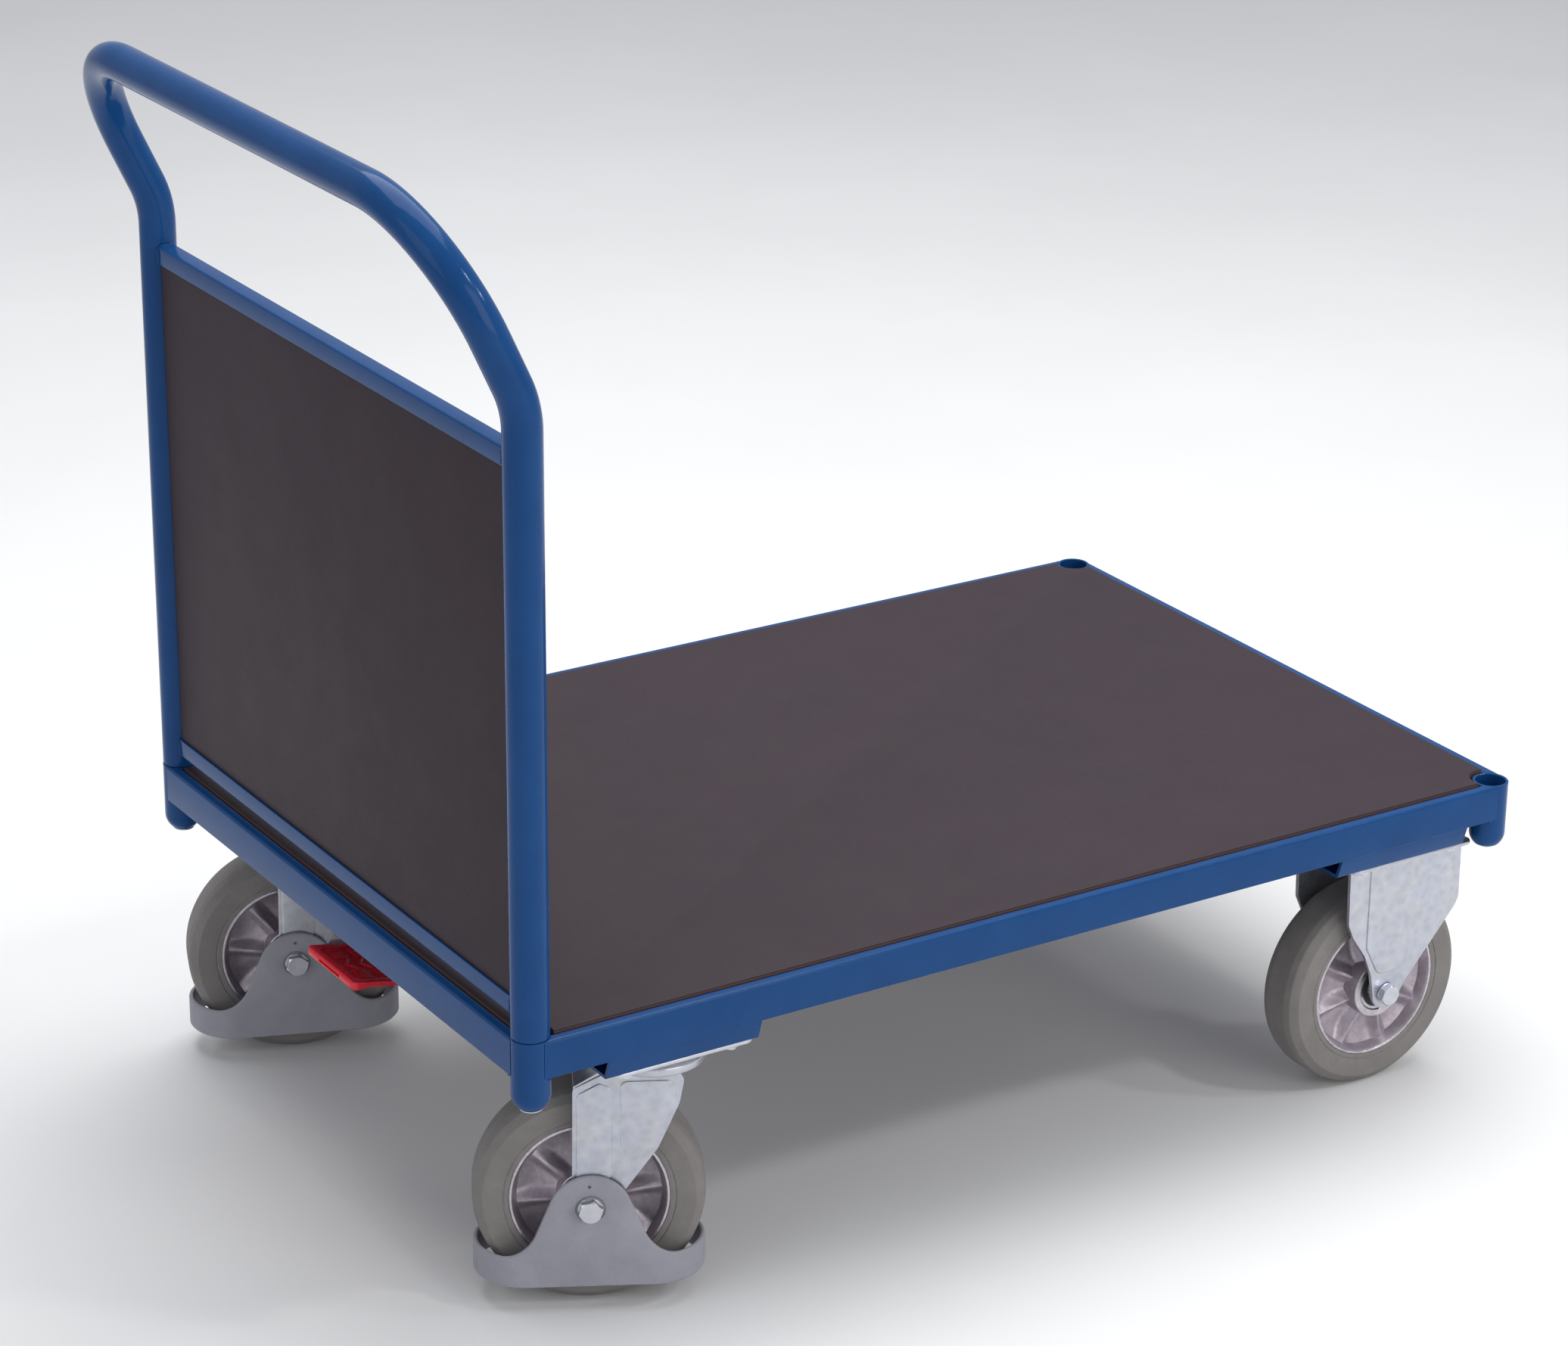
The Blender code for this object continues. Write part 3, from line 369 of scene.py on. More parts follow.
def merge(shape, other, place):
    """Moves another shape to its place and adds it to this one."""
    bmesh.ops.recalc_face_normals(other, faces=other.faces)
    bmesh.ops.transform(other, matrix=place, verts=other.verts)
    if place.determinant() < 0.0:
        bmesh.ops.reverse_faces(other, faces=other.faces)
    carrier = bpy.data.meshes.new("carrier")
    other.to_mesh(carrier)
    other.free()
    shape.from_mesh(carrier)
    bpy.data.meshes.remove(carrier)


def soften(shape, width, segments, sharp=28.0):
    """Rounds the sharp edges of a shape."""
    edges = [
        edge
        for edge in shape.edges
        if len(edge.link_faces) == 2 and edge.calc_face_angle() > math.radians(sharp)
    ]
    bmesh.ops.bevel(
        shape, geom=edges, offset=width, segments=segments, profile=0.5, affect="EDGES",
        clamp_overlap=True,
    )


def add_plate(
    shape, outlines, low, high, place, edge=0.0006, segments=2, face_paint=0, edge_paint=0
):
    """A plate with the first outline, holes where more follow, and rounded edges."""
    plate = bmesh.new()
    lines = []
    for outline in outlines:
        corners = [plate.verts.new((u, v, low)) for u, v in outline]
        for i, corner in enumerate(corners):
            lines.append(plate.edges.new((corner, corners[(i + 1) % len(corners)])))
    bmesh.ops.triangle_fill(plate, use_beauty=True, use_dissolve=False, edges=lines)
    bmesh.ops.dissolve_limit(
        plate, angle_limit=0.01, verts=plate.verts, edges=plate.edges, use_dissolve_boundaries=False
    )
    for face in plate.faces:
        face.material_index = face_paint
    grown = bmesh.ops.extrude_face_region(plate, geom=list(plate.faces), use_keep_orig=True)
    moved = [part for part in grown["geom"] if isinstance(part, bmesh.types.BMVert)]
    bmesh.ops.translate(plate, verts=moved, vec=(0.0, 0.0, high - low))
    bmesh.ops.recalc_face_normals(plate, faces=plate.faces)
    for face in plate.faces:
        face.material_index = face_paint if abs(face.normal.z) > 0.5 else edge_paint
    if edge > 0.0:
        soften(plate, edge, segments)
    merge(shape, plate, place)


def film_material(name, upright, first, second):
    """Dark phenolic film with its pressed mesh, faint cloudy tone and pale specks."""
    specks = tuple(1.30 * value for value in second)
    return make_material(
        name,
        first,
        [(put_patches, (0.11, 3.0), second), (put_grain_range, (0.0012, -0.35, 0.65), specks)],
        (0.05, 0.0, 0.60, 0.66),
        (put_mesh, (upright,), 0.00012),
        specular=0.22,
    )


def put_plies(tree):
    """The thin veneers of a sawn edge, light and dark by turns, as a mask."""
    place = put_node(tree, "ShaderNodeTexCoord").outputs["Object"]
    plies = put_node(
        tree, "ShaderNodeTexWave", Vector=place, Scale=110.0, Distortion=0.9, Detail=3.0,
        Detail_Scale=2.5,
    )
    plies.bands_direction = "Z"
    return plies.outputs["Fac"]


LEVEL = Matrix.Translation((middle.x, middle.y, 0.0))
deck_film = film_material("deck_film", 0.0, (0.036, 0.025, 0.032), (0.039, 0.027, 0.034))
ply_edge = make_material(
    "ply_edge",
    (0.042, 0.016, 0.010),
    [
        (put_plies, (), (0.115, 0.042, 0.020)),
        (put_patches_range, (0.02, 0.0, 0.0, 0.6), (0.05, 0.03, 0.03)),
    ],
    (0.02, 0.0, 0.7, 0.7),
    (put_plies, (), 0.0002),
)


def deck_outline():
    """The deck's outline round its middle, with a round notch at each corner."""
    hx = (deck_high.x - deck_low.x) / 2
    hy = (deck_high.y - deck_low.y) / 2
    over_x = math.degrees(math.asin((hx - SOCKET_X) / DECK_NOTCH))
    over_y = math.degrees(math.asin((hy - SOCKET_Y) / DECK_NOTCH))
    outline = []
    for sx, sy, start in ((1, 1, 0.0), (-1, 1, 90.0), (-1, -1, 180.0), (1, -1, 270.0)):
        first, last = (over_x, over_y) if sx == sy else (over_y, over_x)
        centre = (sx * SOCKET_X, sy * SOCKET_Y)
        outline += arc(centre, DECK_NOTCH, start + 270.0 + first, start + 180.0 - last, 18)
    return outline


deck_shape = bmesh.new()
add_plate(deck_shape, [deck_outline()], deck_low.z, deck_high.z, LEVEL, 0.0007, 2, 0, 1)
finish_piece("deck_board", deck_shape, [deck_film, ply_edge], "chassis", ["deck_panel"])


# ---------------------------------------------------------------- frame rails
# Four rails folded from 2.5 mm steel make the platform frame: a skirt, a rounded top lip and a
# ledge under the deck. They are welded to the corner sockets and powder coated signal blue.

SHEET = 0.0025
FOLD = 0.0026
LIP = 0.0112
LEDGE = 0.0215
GAP = 0.0003
RAIL_END_GAP = 0.004
skirt_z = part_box("side_rail_right")[0].z
half_length = (deck_high.x - deck_low.x) / 2 + LIP + GAP
half_width = (deck_high.y - deck_low.y) / 2 + LIP + GAP
UPRIGHT = Matrix(((1, 0, 0, 0), (0, 0, 1, 0), (0, 1, 0, 0), (0, 0, 0, 1)))
ENDWISE = Matrix(((0, 0, 1, 0), (1, 0, 0, 0), (0, 1, 0, 0), (0, 0, 0, 1)))

# Powder coat: clouded colour, fine orange peel, a painted highlight of lighter blue along the edges
# and a little dust.
blue_coat = make_material(
    "signal_blue_coat",
    (0.0060, 0.052, 0.178),
    [
        (put_patches, (0.06, 1.0), (0.0080, 0.062, 0.205)),
        # Lighter blue along the edges: a painted highlight.
        (put_edge_wear_and_highlight, (0.0012, 0.28), (0.035, 0.125, 0.32)),
        (put_dust, (0.03,), (0.12, 0.17, 0.26)),
    ],
    (0.02, 0.0, 0.11, 0.16),
    (put_grain, (0.0022,), 0.00006),
    specular=0.16,
)


def rounded(corners, radii, steps=4):
    """An outline whose corners are arcs of the given radii; 0 keeps a corner sharp."""
    outline = []
    count = len(corners)
    for i, radius in enumerate(radii):
        corner = Vector(corners[i])
        if radius <= 0.0:
            outline.append(tuple(corner))
            continue
        to_last = (Vector(corners[i - 1]) - corner).normalized()
        to_next = (Vector(corners[(i + 1) % count]) - corner).normalized()
        half = to_last.angle(to_next) / 2
        reach = radius / math.tan(half)
        centre = corner + (to_last + to_next).normalized() * (radius / math.sin(half))
        first = corner + to_last * reach - centre
        last = corner + to_next * reach - centre
        turn = math.atan2(first.x * last.y - first.y * last.x, first.dot(last))
        heading = math.atan2(first.y, first.x)
        for k in range(steps + 1):
            angle = heading + turn * k / steps
            outline.append((centre.x + radius * math.cos(angle), centre.y + radius * math.sin(angle)))
    return outline


def rail_section(half, sign):
    """The folded rail's section, out to a half size of the frame on the side of sign."""
    ledge_z = deck_low.z - GAP
    inward = [0.0, 0.0, LIP, LIP, LIP + LEDGE, LIP + LEDGE, LIP - SHEET, LIP - SHEET, SHEET, SHEET]
    heights = [skirt_z, rim_z, rim_z, ledge_z, ledge_z, ledge_z - SHEET, ledge_z - SHEET]
    heights += [rim_z - SHEET, rim_z - SHEET, skirt_z]
    radii = [0.0007, FOLD, FOLD, 0.0003, 0.0007, 0.0007, FOLD, 0.0003, 0.0003, 0.0007]
    corners = [(sign * (half - back_by), z) for back_by, z in zip(inward, heights)]
    return rounded(corners, radii)


def add_turned(shape, profile, steps, place, paints=None, start=0.0):
    """Turns a (radius, height) profile about Z, then puts it in place.

    The profile may depend on the angle. It closes on itself, or on the axis where it ends there.
    """
    piece = bmesh.new()
    outline_at = profile if callable(profile) else lambda angle: profile
    rings = []
    for i in range(steps):
        angle = start + 2.0 * math.pi * i / steps
        outline = outline_at(angle)
        ring = [
            piece.verts.new((r * math.cos(angle), r * math.sin(angle), h)) for r, h in outline
        ]
        rings.append(ring)
    count = len(rings[0])
    outline = outline_at(start)
    open_ends = outline[0][0] <= 1e-9 and outline[-1][0] <= 1e-9
    for i, ring in enumerate(rings):
        after = rings[(i + 1) % steps]
        for k in range(count - 1 if open_ends else count):
            n = (k + 1) % count
            corners = [ring[k], ring[n], after[n], after[k]]
            if outline[k][0] <= 1e-9:
                corners = [ring[k], ring[n], after[n]]
            elif outline[n][0] <= 1e-9:
                corners = [ring[k], ring[n], after[k]]
            face = piece.faces.new(corners)
            face.material_index = paints[k] if paints else 0
    bmesh.ops.remove_doubles(piece, verts=piece.verts, dist=1e-7)
    merge(shape, piece, place)


def cut_away(shape, cutter):
    """Takes one closed shape out of another."""
    objects = []
    for name, part in (("worked", shape), ("cutter", cutter)):
        bmesh.ops.recalc_face_normals(part, faces=part.faces)
        data = bpy.data.meshes.new(name)
        part.to_mesh(data)
        part.free()
        made = bpy.data.objects.new(name, data)
        bpy.context.scene.collection.objects.link(made)
        objects.append(made)
    worked, tool = objects
    step = worked.modifiers.new("Cut", "BOOLEAN")
    step.operation = "DIFFERENCE"
    step.object = tool
    step.solver = "EXACT"
    step.use_self = True
    bpy.context.view_layer.update()
    evaluated = worked.evaluated_get(bpy.context.evaluated_depsgraph_get())
    data = bpy.data.meshes.new_from_object(evaluated)
    result = bmesh.new()
    result.from_mesh(data)
    for made in objects:
        bpy.data.objects.remove(made, do_unlink=True)
    bmesh.ops.remove_doubles(result, verts=result.verts, dist=2e-6)
    return result


def socket_place(sx, sy):
    """The place of a corner socket's axis, on the end sx and the side sy."""
    return LEVEL @ Matrix.Translation((sx * SOCKET_X, sy * SOCKET_Y, 0.0))


def corner_cutter(ends, sides):
    """Room for the corner sockets below the rails' lips, which run on up to them."""
    cutter = bmesh.new()
    inner = SOCKET_RADIUS + 0.003
    outer_x = half_length - SHEET - GAP
    outer_y = half_width - SHEET - GAP
    for sx in ends:
        for sy in sides:
            inner_x, inner_y = sx * (SOCKET_X - inner), sy * (SOCKET_Y - inner)
            room = [
                (inner_x, inner_y), (sx * outer_x, inner_y), (sx * outer_x, sy * outer_y),
                (inner_x, sy * outer_y),
            ]
            add_plate(cutter, [room], skirt_z - 0.01, rim_z - SHEET - GAP, LEVEL, 0.0)
    return cutter


def drill_profile(radius, low, high):
    """The profile of a plain round drill."""
    return [(0.0, low), (radius, low), (radius, high), (0.0, high)]


def round_cutter(ends, sides):
    """The round bores that the sockets stand in."""
    cutter = bmesh.new()
    bore = drill_profile(SOCKET_RADIUS + 0.0002, skirt_z - 0.01, rim_z + 0.01)
    for sx in ends:
        for sy in sides:
            add_turned(cutter, bore, 64, socket_place(sx, sy))
    return cutter


def make_rail(name, half, reach, lie, sign, ends, sides):
    """A folded rail, cut clear of the socket at each of its ends."""
    shape = bmesh.new()
    add_plate(shape, [rail_section(half, sign)], -reach, reach, LEVEL @ lie, 0.0)
    for cutter in (corner_cutter, round_cutter):
        shape = cut_away(shape, cutter(ends, sides))
    finish_piece(f"folded_{name}", shape, [blue_coat], "chassis", [name])


for side, sign in SIDES.items():
    reach = SOCKET_X - RAIL_END_GAP
    make_rail(f"side_rail_{side}", half_width, reach, ENDWISE, sign, (1, -1), (sign,))

for end, sign in ENDS.items():
    reach = SOCKET_Y - RAIL_END_GAP
    make_rail(f"end_rail_{end}", half_length, reach, UPRIGHT, sign, (sign,), (1, -1))


# ---------------------------------------------------------------- corner sockets
# Each corner is a stub of steel pipe with a pressed dome at its foot. The front two stand open
# for a second handle or end wall, and small weld beads join each one to its two rails.

SOCKET_BORE = 0.0142
SOCKET_FLOOR = 0.2490
socket_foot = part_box("corner_socket_front_right")[0].z


def add_tube(shape, route, radius, sides, closed=False, caps=True):
    """A round bar along a route of points. The radius may be a list, one for each point."""
    piece = bmesh.new()
    points = [Vector(point) for point in route]
    count = len(points)
    radii = radius if isinstance(radius, list) else [radius] * count
    ahead = []
    for i in range(count):
        before = points[i - 1] if closed or i > 0 else points[i]
        after = points[(i + 1) % count] if closed or i < count - 1 else points[i]
        ahead.append((after - before).normalized())
    side_way = ahead[0].orthogonal().normalized()
    rings = []
    for point, way, thick in zip(points, ahead, radii):
        side_way = (side_way - way * side_way.dot(way)).normalized()
        other = way.cross(side_way)
        ring = []
        for k in range(sides):
            angle = 2.0 * math.pi * k / sides
            reach = side_way * math.cos(angle) + other * math.sin(angle)
            ring.append(piece.verts.new(point + reach * thick))
        rings.append(ring)
    for i in range(count if closed else count - 1):
        first, second = rings[i], rings[(i + 1) % count]
        for k in range(sides):
            n = (k + 1) % sides
            piece.faces.new((first[k], first[n], second[n], second[k]))
    if caps and not closed:
        piece.faces.new(list(reversed(rings[0])))
        piece.faces.new(rings[-1])
    merge(shape, piece, Matrix.Identity(4))


def add_bead(shape, start, stop, radius=0.0016, ripple=0.0032):
    """A short weld bead with its ripples, along a straight line."""
    start, stop = Vector(start), Vector(stop)
    length = (stop - start).length
    count = max(6, round(length / ripple * 4))
    route = [start.lerp(stop, i / count) for i in range(count + 1)]
    radii = []
    for i in range(count + 1):
        edge = min(1.0, 0.35 + min(i, count - i) / 3.0)
        radii.append(radius * edge * (1.0 + 0.16 * math.sin(2.0 * math.pi * i / 4.0)))
    add_tube(shape, route, radii, 8)


def rounded_profile(points, radii, steps=4):
    """A turned profile with some of its corners rounded."""
    inner = rounded(points, radii, steps)
    return [(max(r, 0.0), h) for r, h in inner]


for end, sx in ENDS.items():
    for side, sy in SIDES.items():
        socket_shape = bmesh.new()
        floor_z, tip_z = SOCKET_FLOOR, socket_foot
        hole = 0.0 if end == "front" else 0.0045
        dome = arc((0.0, 0.2475), SOCKET_RADIUS, 0.0, -46.0, 10)
        profile = [(hole, floor_z - (0.0 if end == "front" else 0.003))]
        profile += [(SOCKET_BORE, profile[0][1]), (SOCKET_BORE, rim_z - 0.0006)]
        profile += [(SOCKET_BORE + 0.0005, rim_z), (SOCKET_RADIUS - 0.0006, rim_z)]
        profile += [(SOCKET_RADIUS, rim_z - 0.0006)] + dome
        if end == "front":
            profile += [(0.0062, tip_z + 0.0009), (0.0, tip_z)]
        else:
            profile += [(hole, dome[-1][1])]
        stand = socket_place(sx, sy)
        add_turned(socket_shape, profile, 72, stand)
        ledge_z = skirt_z + 0.0015
        for dx, dy in ((-0.0095 * sx, 0.0132 * sy), (0.0132 * sx, -0.0095 * sy)):
            foot = stand @ Vector((1.03 * dx, 1.03 * dy, ledge_z))
            add_bead(socket_shape, foot, foot + Vector((0.0, 0.0, 0.010)), 0.0014)
            add_bead(socket_shape, foot - Vector((0.0, 0.0, 0.0045)), foot, 0.0026)
        name = f"corner_socket_{end}_{side}"
        finish_piece(f"pipe_{name}", socket_shape, [blue_coat], "chassis", [name])


# ---------------------------------------------------------------- push handle
# One length of 33 mm steel tube, bent twice on each side, stands in the rear sockets. The legs
# lean back above the panel, and the whole handle is coated in the same blue as the frame.

TUBE_RADIUS = 0.0165
KINK_Z = 0.840
KINK_RADIUS = 0.093
LEAN = math.radians(25.0)
LEAN_LENGTH = 0.174
CORNER_RADIUS = 0.110


def rounded_route(corners, radii, steps):
    """A route through corners in space, each corner but the ends rounded to its radius."""
    corners = [Vector(corner) for corner in corners]
    route = [corners[0]]
    for before, corner, after, radius in zip(corners, corners[1:], corners[2:], radii):
        to_last = (before - corner).normalized()
        to_next = (after - corner).normalized()
        half = to_last.angle(to_next) / 2
        centre = corner + (to_last + to_next).normalized() * (radius / math.sin(half))
        first = (corner + to_last * (radius / math.tan(half)) - centre).normalized()
        last = (corner + to_next * (radius / math.tan(half)) - centre).normalized()
        for i in range(steps + 1):
            route.append(centre + first.slerp(last, i / steps) * radius)
    route.append(corners[-1])
    return route


def handle_route(foot_z):
    grip_x = -SOCKET_X - LEAN_LENGTH * math.sin(LEAN)
    grip_z = KINK_Z + LEAN_LENGTH * math.cos(LEAN)
    half = [
        (-SOCKET_X, -SOCKET_Y, foot_z), (-SOCKET_X, -SOCKET_Y, KINK_Z),
        (grip_x, -SOCKET_Y, grip_z),
    ]
    corners = half + [(x, -y, z) for x, y, z in reversed(half)]
    bends = (KINK_RADIUS, CORNER_RADIUS, CORNER_RADIUS, KINK_RADIUS)
    return [LEVEL @ point for point in rounded_route(corners, bends, 22)]


handle_shape = bmesh.new()
add_tube(handle_shape, handle_route(rim_z + 0.0012), TUBE_RADIUS, 48)
for side, sy in SIDES.items():
    stand = socket_place(-1, sy)
    plug = rounded_profile(
        [
            (0.0045, rim_z + 0.0300), (TUBE_RADIUS - 0.0006, rim_z + 0.0300),
            (TUBE_RADIUS - 0.0006, rim_z + 0.0003), (SOCKET_BORE - 0.0005, rim_z + 0.0003),
            (SOCKET_BORE - 0.0005, SOCKET_FLOOR), (0.0045, SOCKET_FLOOR),
        ],
        [0.0, 0.0, 0.0005, 0.0, 0.0008, 0.0],
    )
    add_turned(handle_shape, plug, 48, stand)
finish_piece("bent_push_handle", handle_shape, [blue_coat], "chassis", ["push_handle"])


# ---------------------------------------------------------------- handle screws
# A countersunk zinc-plated screw comes up through each rear socket's dome and holds the leg.

def put_crystals(tree):
    """The large soft crystals of a zinc plate, as a mask."""
    place = put_node(tree, "ShaderNodeTexCoord").outputs["Object"]
    crystals = put_node(tree, "ShaderNodeTexVoronoi", Vector=place, Scale=140.0, Randomness=1.0)
    crystals.feature = "SMOOTH_F1"
    return put_range(tree, crystals.outputs["Distance"], 0.0, 1.0)


def zinc_material(name, first, second, low, high):
    """Bright zinc plate: large soft crystals, a faint blue and straw bloom, and fine pits."""
    layers = [
        (put_crystals, (), second),
        (put_patches_range, (0.018, 5.0, 0.0, 0.30), (0.50, 0.56, 0.74)),
        (put_patches_range, (0.03, 11.0, 0.0, 0.16), (0.66, 0.58, 0.44)),
        (put_edge_wear_and_highlight, (0.0009, 0.6), (0.86, 0.87, 0.90)),
    ]
    relief = (put_grain, (0.0016,), 0.00006)
    return make_material(name, first, layers, (0.012, 2.0, low, high), relief, metallic=0.9)


bright_zinc = zinc_material("bright_zinc", (0.50, 0.52, 0.56), (0.64, 0.64, 0.67), 0.20, 0.36)

for side, sy in SIDES.items():
    screw_shape = bmesh.new()
    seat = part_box(f"handle_screw_{side}")[0].z
    head = [
        (0.0, seat + 0.0340), (0.0040, seat + 0.0335), (0.0040, seat + 0.0048),
        (0.0098, seat + 0.0020), (0.0098, seat + 0.0012), (0.0086, seat + 0.0003),
        (0.0042, seat), (0.0034, seat + 0.0004), (0.0030, seat + 0.0022), (0.0, seat + 0.0026),
    ]
    stand = socket_place(-1, sy)
    add_turned(screw_shape, head, 40, stand)
    name = f"handle_screw_{side}"
    finish_piece(f"countersunk_{name}", screw_shape, [bright_zinc], "chassis", [name])


# ---------------------------------------------------------------- end panel and its channels
# Two small steel channels are welded between the handle legs and hold a dark film-faced plywood
# panel that closes the wall from the deck up to the bend.

CHANNEL_WALL = 0.002


def channel_section(low, high, opens):
    """The channel's section across X and Z, open up or down."""
    web, lip = (low.z, high.z) if opens == "up" else (high.z, low.z)
    step = CHANNEL_WALL if opens == "up" else -CHANNEL_WALL
    corners = [
        (low.x, lip), (low.x, web), (high.x, web), (high.x, lip), (high.x - CHANNEL_WALL, lip),
        (high.x - CHANNEL_WALL, web + step), (low.x + CHANNEL_WALL, web + step),
        (low.x + CHANNEL_WALL, lip),
    ]
    return rounded(corners, [0.0004, 0.0018, 0.0018, 0.0004, 0.0004, 0.0003, 0.0003, 0.0004])


for name, opens in (("panel_top_rail", "down"), ("panel_bottom_rail", "up")):
    low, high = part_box(name)
    channel_shape = bmesh.new()
    add_plate(channel_shape, [channel_section(low, high, opens)], low.y, high.y, UPRIGHT, 0.0)
    face_z = high.z if opens == "down" else low.z
    for end_y, step in ((low.y, 1.0), (high.y, -1.0)):
        for x in (low.x - 0.0002, high.x + 0.0002):
            bead_y = end_y + step * 0.0015
            add_bead(channel_shape, (x, bead_y, low.z + 0.0015), (x, bead_y, high.z - 0.0015), 0.0014)
        add_bead(
            channel_shape,
            (low.x + 0.002, end_y + step * 0.0008, face_z),
            (high.x - 0.002, end_y + step * 0.0008, face_z),
            0.0012,
        )
    finish_piece(f"folded_{name}", channel_shape, [blue_coat], "chassis", [name])

panel_film = film_material("panel_film", 1.0, (0.038, 0.027, 0.034), (0.041, 0.029, 0.036))
panel_low, panel_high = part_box("end_panel")
panel_shape = bmesh.new()
panel_outline = [
    (panel_low.y, panel_low.z), (panel_high.y, panel_low.z), (panel_high.y, panel_high.z),
    (panel_low.y, panel_high.z),
]
add_plate(panel_shape, [panel_outline], panel_low.x, panel_high.x, ENDWISE, 0.0006, 2, 0, 1)
finish_piece("film_end_panel", panel_shape, [panel_film, ply_edge], "chassis", ["end_panel"])


# ---------------------------------------------------------------- caster pans
# Four folded steel pans are welded under the side rails. Their outer walls lean in, and each
# caster plate is bolted up against the floor of its pan.

PAN_SHEET = 0.003
PAN_TOP_Y = 0.348
PAN_FOOT_Y = 0.3415
PAN_INNER_Y = 0.2265
PAN_BORE_Y = 0.228
KINGPIN_BORE = 0.022
SHAFT_BORE = 0.0075
SEAM_STARTS = (0.006, 0.056, 0.106)
SEAM_LENGTH = 0.034


def pan_section(low, high, sign):
    """The pan's section across Y and Z: a short leaning outer wall, a floor and an inner wall."""
    outer_top, outer_foot, inner = (sign * y for y in (PAN_TOP_Y, PAN_FOOT_Y, PAN_INNER_Y))
    wall = sign * PAN_SHEET
    outer_top_z = skirt_z - GAP
    corners = [
        (outer_top, outer_top_z), (outer_foot, low.z), (inner, low.z), (inner, high.z),
        (inner + wall, high.z), (inner + wall, low.z + PAN_SHEET),
        (outer_foot - wall, low.z + PAN_SHEET), (outer_top - wall, outer_top_z),
    ]
    return rounded(corners, [0.0003, 0.0036, 0.0036, 0.0005, 0.0005, 0.0008, 0.0008, 0.0003])


CENTRE_LINE = Matrix.Translation((0.0, middle.y, 0.0))
hinge = Vector(joints["brake_pedal_hinge"]["pos_m"])

for end in ENDS:
    for side, sy in SIDES.items():
        name = f"caster_pan_{end}_{side}"
        low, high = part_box(name)
        pan_shape = bmesh.new()
        place = CENTRE_LINE @ ENDWISE
        add_plate(pan_shape, [pan_section(low, high, sy)], low.x, high.x, place, 0.0)
        if end == "rear":
            pivot = Vector(joints[f"{side}_caster_swivel"]["pos_m"])
            opening = bmesh.new()
            drill = drill_profile(KINGPIN_BORE, low.z - 0.01, low.z + 0.008)
            add_turned(opening, drill, 48, Matrix.Translation((pivot.x, pivot.y, 0.0)))
            drill = drill_profile(SHAFT_BORE, -0.008, 0.008)
            bore_place = Matrix.Translation((hinge.x, middle.y + sy * PAN_BORE_Y, hinge.z))
            add_turned(opening, drill, 32, bore_place @ UPRIGHT)
            pan_shape = cut_away(pan_shape, opening)
        seam_y = middle.y + sy * (PAN_TOP_Y - 0.0002)
        seam_z = skirt_z - 0.0006
        for start_x in SEAM_STARTS:
            first_x = low.x + start_x
            last_x = first_x + SEAM_LENGTH
            add_bead(pan_shape, (first_x, seam_y, seam_z), (last_x, seam_y, seam_z), 0.0009)
        finish_piece(f"folded_{name}", pan_shape, [blue_coat], "chassis", [name])


# ---------------------------------------------------------------- caster plates and swivel heads
# Each swivel caster hangs from a zinc-plated steel plate on a double ball race. A hollow kingpin
# holds them together, and four bolts with nuts hold the plate under its pan.

PLATE_LENGTH, PLATE_WIDTH = 0.140, 0.110
BOLT_PITCH_X, BOLT_PITCH_Y = 0.105, 0.080
M8_RADIUS = 0.004
M8_HEX = 0.0075
HEX_STEPS = 48
race_zinc = zinc_material("race_zinc", (0.46, 0.48, 0.52), (0.58, 0.60, 0.64), 0.30, 0.45)


def add_hex(shape, radius, low, high, place, chamfer=0.0012, hole=0.0, turn=0.0):
    """A hexagon head or nut whose corners are cut by a cone on its outer face."""
    flat = radius * math.cos(math.pi / 6)
    angles = [2.0 * math.pi * k / HEX_STEPS for k in range(HEX_STEPS)]
    folds = [(angle + math.pi / 6) % (math.pi / 3) - math.pi / 6 for angle in angles]
    sides = [flat / math.cos(fold) for fold in folds]
    rises = [chamfer * (1.0 - (reach - flat) / (radius - flat)) * 0.85 for reach in sides]
    layers = [
        (sides, [low] * HEX_STEPS), (sides, [high - chamfer + rise for rise in rises]),
        ([flat * 0.985] * HEX_STEPS, [high] * HEX_STEPS),
    ]
    if hole:
        layers += [([hole] * HEX_STEPS, [height] * HEX_STEPS) for height in (low, high)]
    piece = bmesh.new()
    rings = []
    for reaches, heights in layers:
        rings.append(
            [
                piece.verts.new((r * math.cos(a), r * math.sin(a), h))
                for a, r, h in zip(angles, reaches, heights)
            ]
        )
    if hole:
        rings = [rings[3], *rings[:3], rings[4], rings[3]]
    for lower, upper in zip(rings, rings[1:]):
        for k in range(HEX_STEPS):
            n = (k + 1) % HEX_STEPS
            piece.faces.new((lower[k], lower[n], upper[n], upper[k]))
    if not hole:
        piece.faces.new(list(reversed(rings[0])))
        piece.faces.new(rings[-1])
    merge(shape, piece, place @ Matrix.Rotation(turn, 4, "Z"))


def add_washer(shape, radius, hole, low, high, place):
    edge = 0.0003
    ring = [(hole, low), (radius - edge, low), (radius, low + edge)]
    ring += [(radius, high - edge), (radius - edge, high), (hole, high)]
    add_turned(shape, ring, 40, place)


